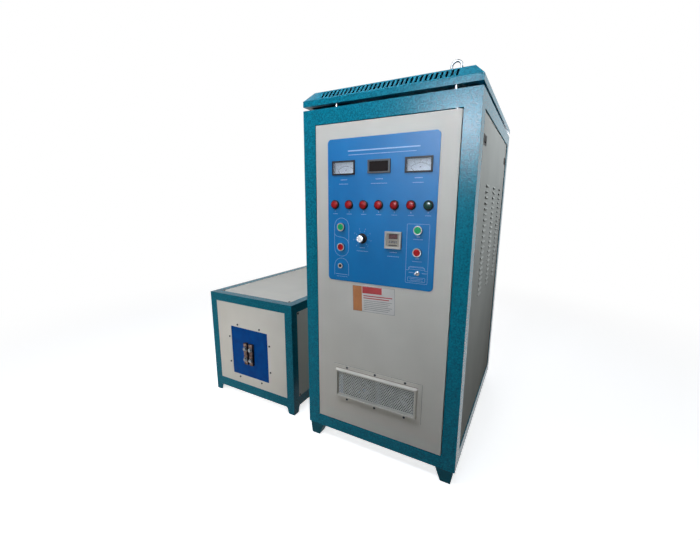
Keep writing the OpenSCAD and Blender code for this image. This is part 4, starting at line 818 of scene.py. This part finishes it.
# Room light: white to the eye, and else dim and warm near the ground, pale and cool overhead
world = bpy.data.worlds.new("studio")
bpy.context.scene.world = world
world.use_nodes = True
tree = world.node_tree
tree.nodes.clear()
white = add(tree, "ShaderNodeBackground", {"Color": colour("#ffffff"), "Strength": 1.0})
height = add(tree, "ShaderNodeSeparateXYZ", {"Vector": add(tree, "ShaderNodeTexCoord").outputs["Generated"]})
room = ramp(tree, height.outputs["Z"], [(0.0, "#47423a"), (0.12, "#77746e"), (0.35, "#b4b4b2"), (1.0, "#d0d6dc")])
soft = add(tree, "ShaderNodeBackground", {"Color": room, "Strength": ROOM_LIGHT})
mixed = add(tree, "ShaderNodeMixShader", {"Fac": seen(tree), 1: soft.outputs[0], 2: white.outputs[0]})
add(tree, "ShaderNodeOutputWorld", {"Surface": mixed.outputs[0]})


# Lamps of the studio

def softbox(name, place, target, size, power, tint, spread=180):
    """A rectangular studio lamp that looks at a point. Its size is in metres and its spread in degrees."""
    data = bpy.data.lights.new(name, "AREA")
    data.shape = "RECTANGLE"
    data.size, data.size_y = size
    data.energy = power
    data.color = colour(tint)[:3]
    data.spread = math.radians(spread)
    lamp = bpy.data.objects.new(name, data)
    bpy.context.scene.collection.objects.link(lamp)
    lamp.location = place
    lamp.rotation_euler = (Vector(target) - Vector(place)).to_track_quat("-Z", "Y").to_euler()
    return lamp


softbox("front_lamp", (-0.1, -1.25, 2.3), (0.1, -0.43, 0.95), (2.0, 0.4), 22, "#e6f0ff")
softbox("far_window", (0.12, -3.63, 1.78), (0.5, -0.43, 1.5), (0.6, 0.9), 5.2, "#f0f6ff", spread=55)
softbox("left_lamp", (-0.9, -2.3, 1.0), (-0.58, -0.39, 0.15), (0.5, 0.5), 1.5, "#ffffff", spread=45)
softbox("right_window", (2.3, 0.3, 2.2), (0.6, 0.0, 1.75), (0.8, 0.8), 9, "#f4f8ff", spread=80)
softbox("rear_lamp", (-0.2, 2.9, 1.0), (0.0, 0.45, 0.75), (1.6, 1.0), 7, "#f2f6ff", spread=80)
# A window's flash on the hammered coat, which only gloss shows
glint = softbox("glint", (-0.05, -3.63, 1.84), (0.55, -0.43, 1.17), (0.85, 0.55), 160, "#e8f2ff")
glint.visible_diffuse = False


# The photograph's camera, solved from the edges of the power cabinet

EYE = Vector((466.0, -1050.4, 905.5))     # millimetres from the middle of the front frame's lower edge
YAW, PITCH, ROLL = (math.radians(angle) for angle in (-28.713, 11.392, -0.2535))

camera_data = bpy.data.cameras.new("camera")
camera_data.lens = 17.54
camera_data.sensor_width = 36
camera = bpy.data.objects.new("camera", camera_data)
bpy.context.scene.collection.objects.link(camera)
bpy.context.scene.camera = camera
ahead = Vector((math.sin(YAW) * math.cos(PITCH), math.cos(YAW) * math.cos(PITCH), -math.sin(PITCH)))
right = Vector((math.cos(YAW), -math.sin(YAW), 0))
down = ahead.cross(right)
rolled_right = right * math.cos(ROLL) + down * math.sin(ROLL)
rolled_down = down * math.cos(ROLL) - right * math.sin(ROLL)
camera.matrix_world = (Matrix.Translation(CABINET + EYE * MM + Vector((0, 0, FRAME_BOTTOM)))
                       @ Matrix((rolled_right, -rolled_down, -ahead)).transposed().to_4x4())

bpy.context.scene.view_settings.view_transform = "Standard"
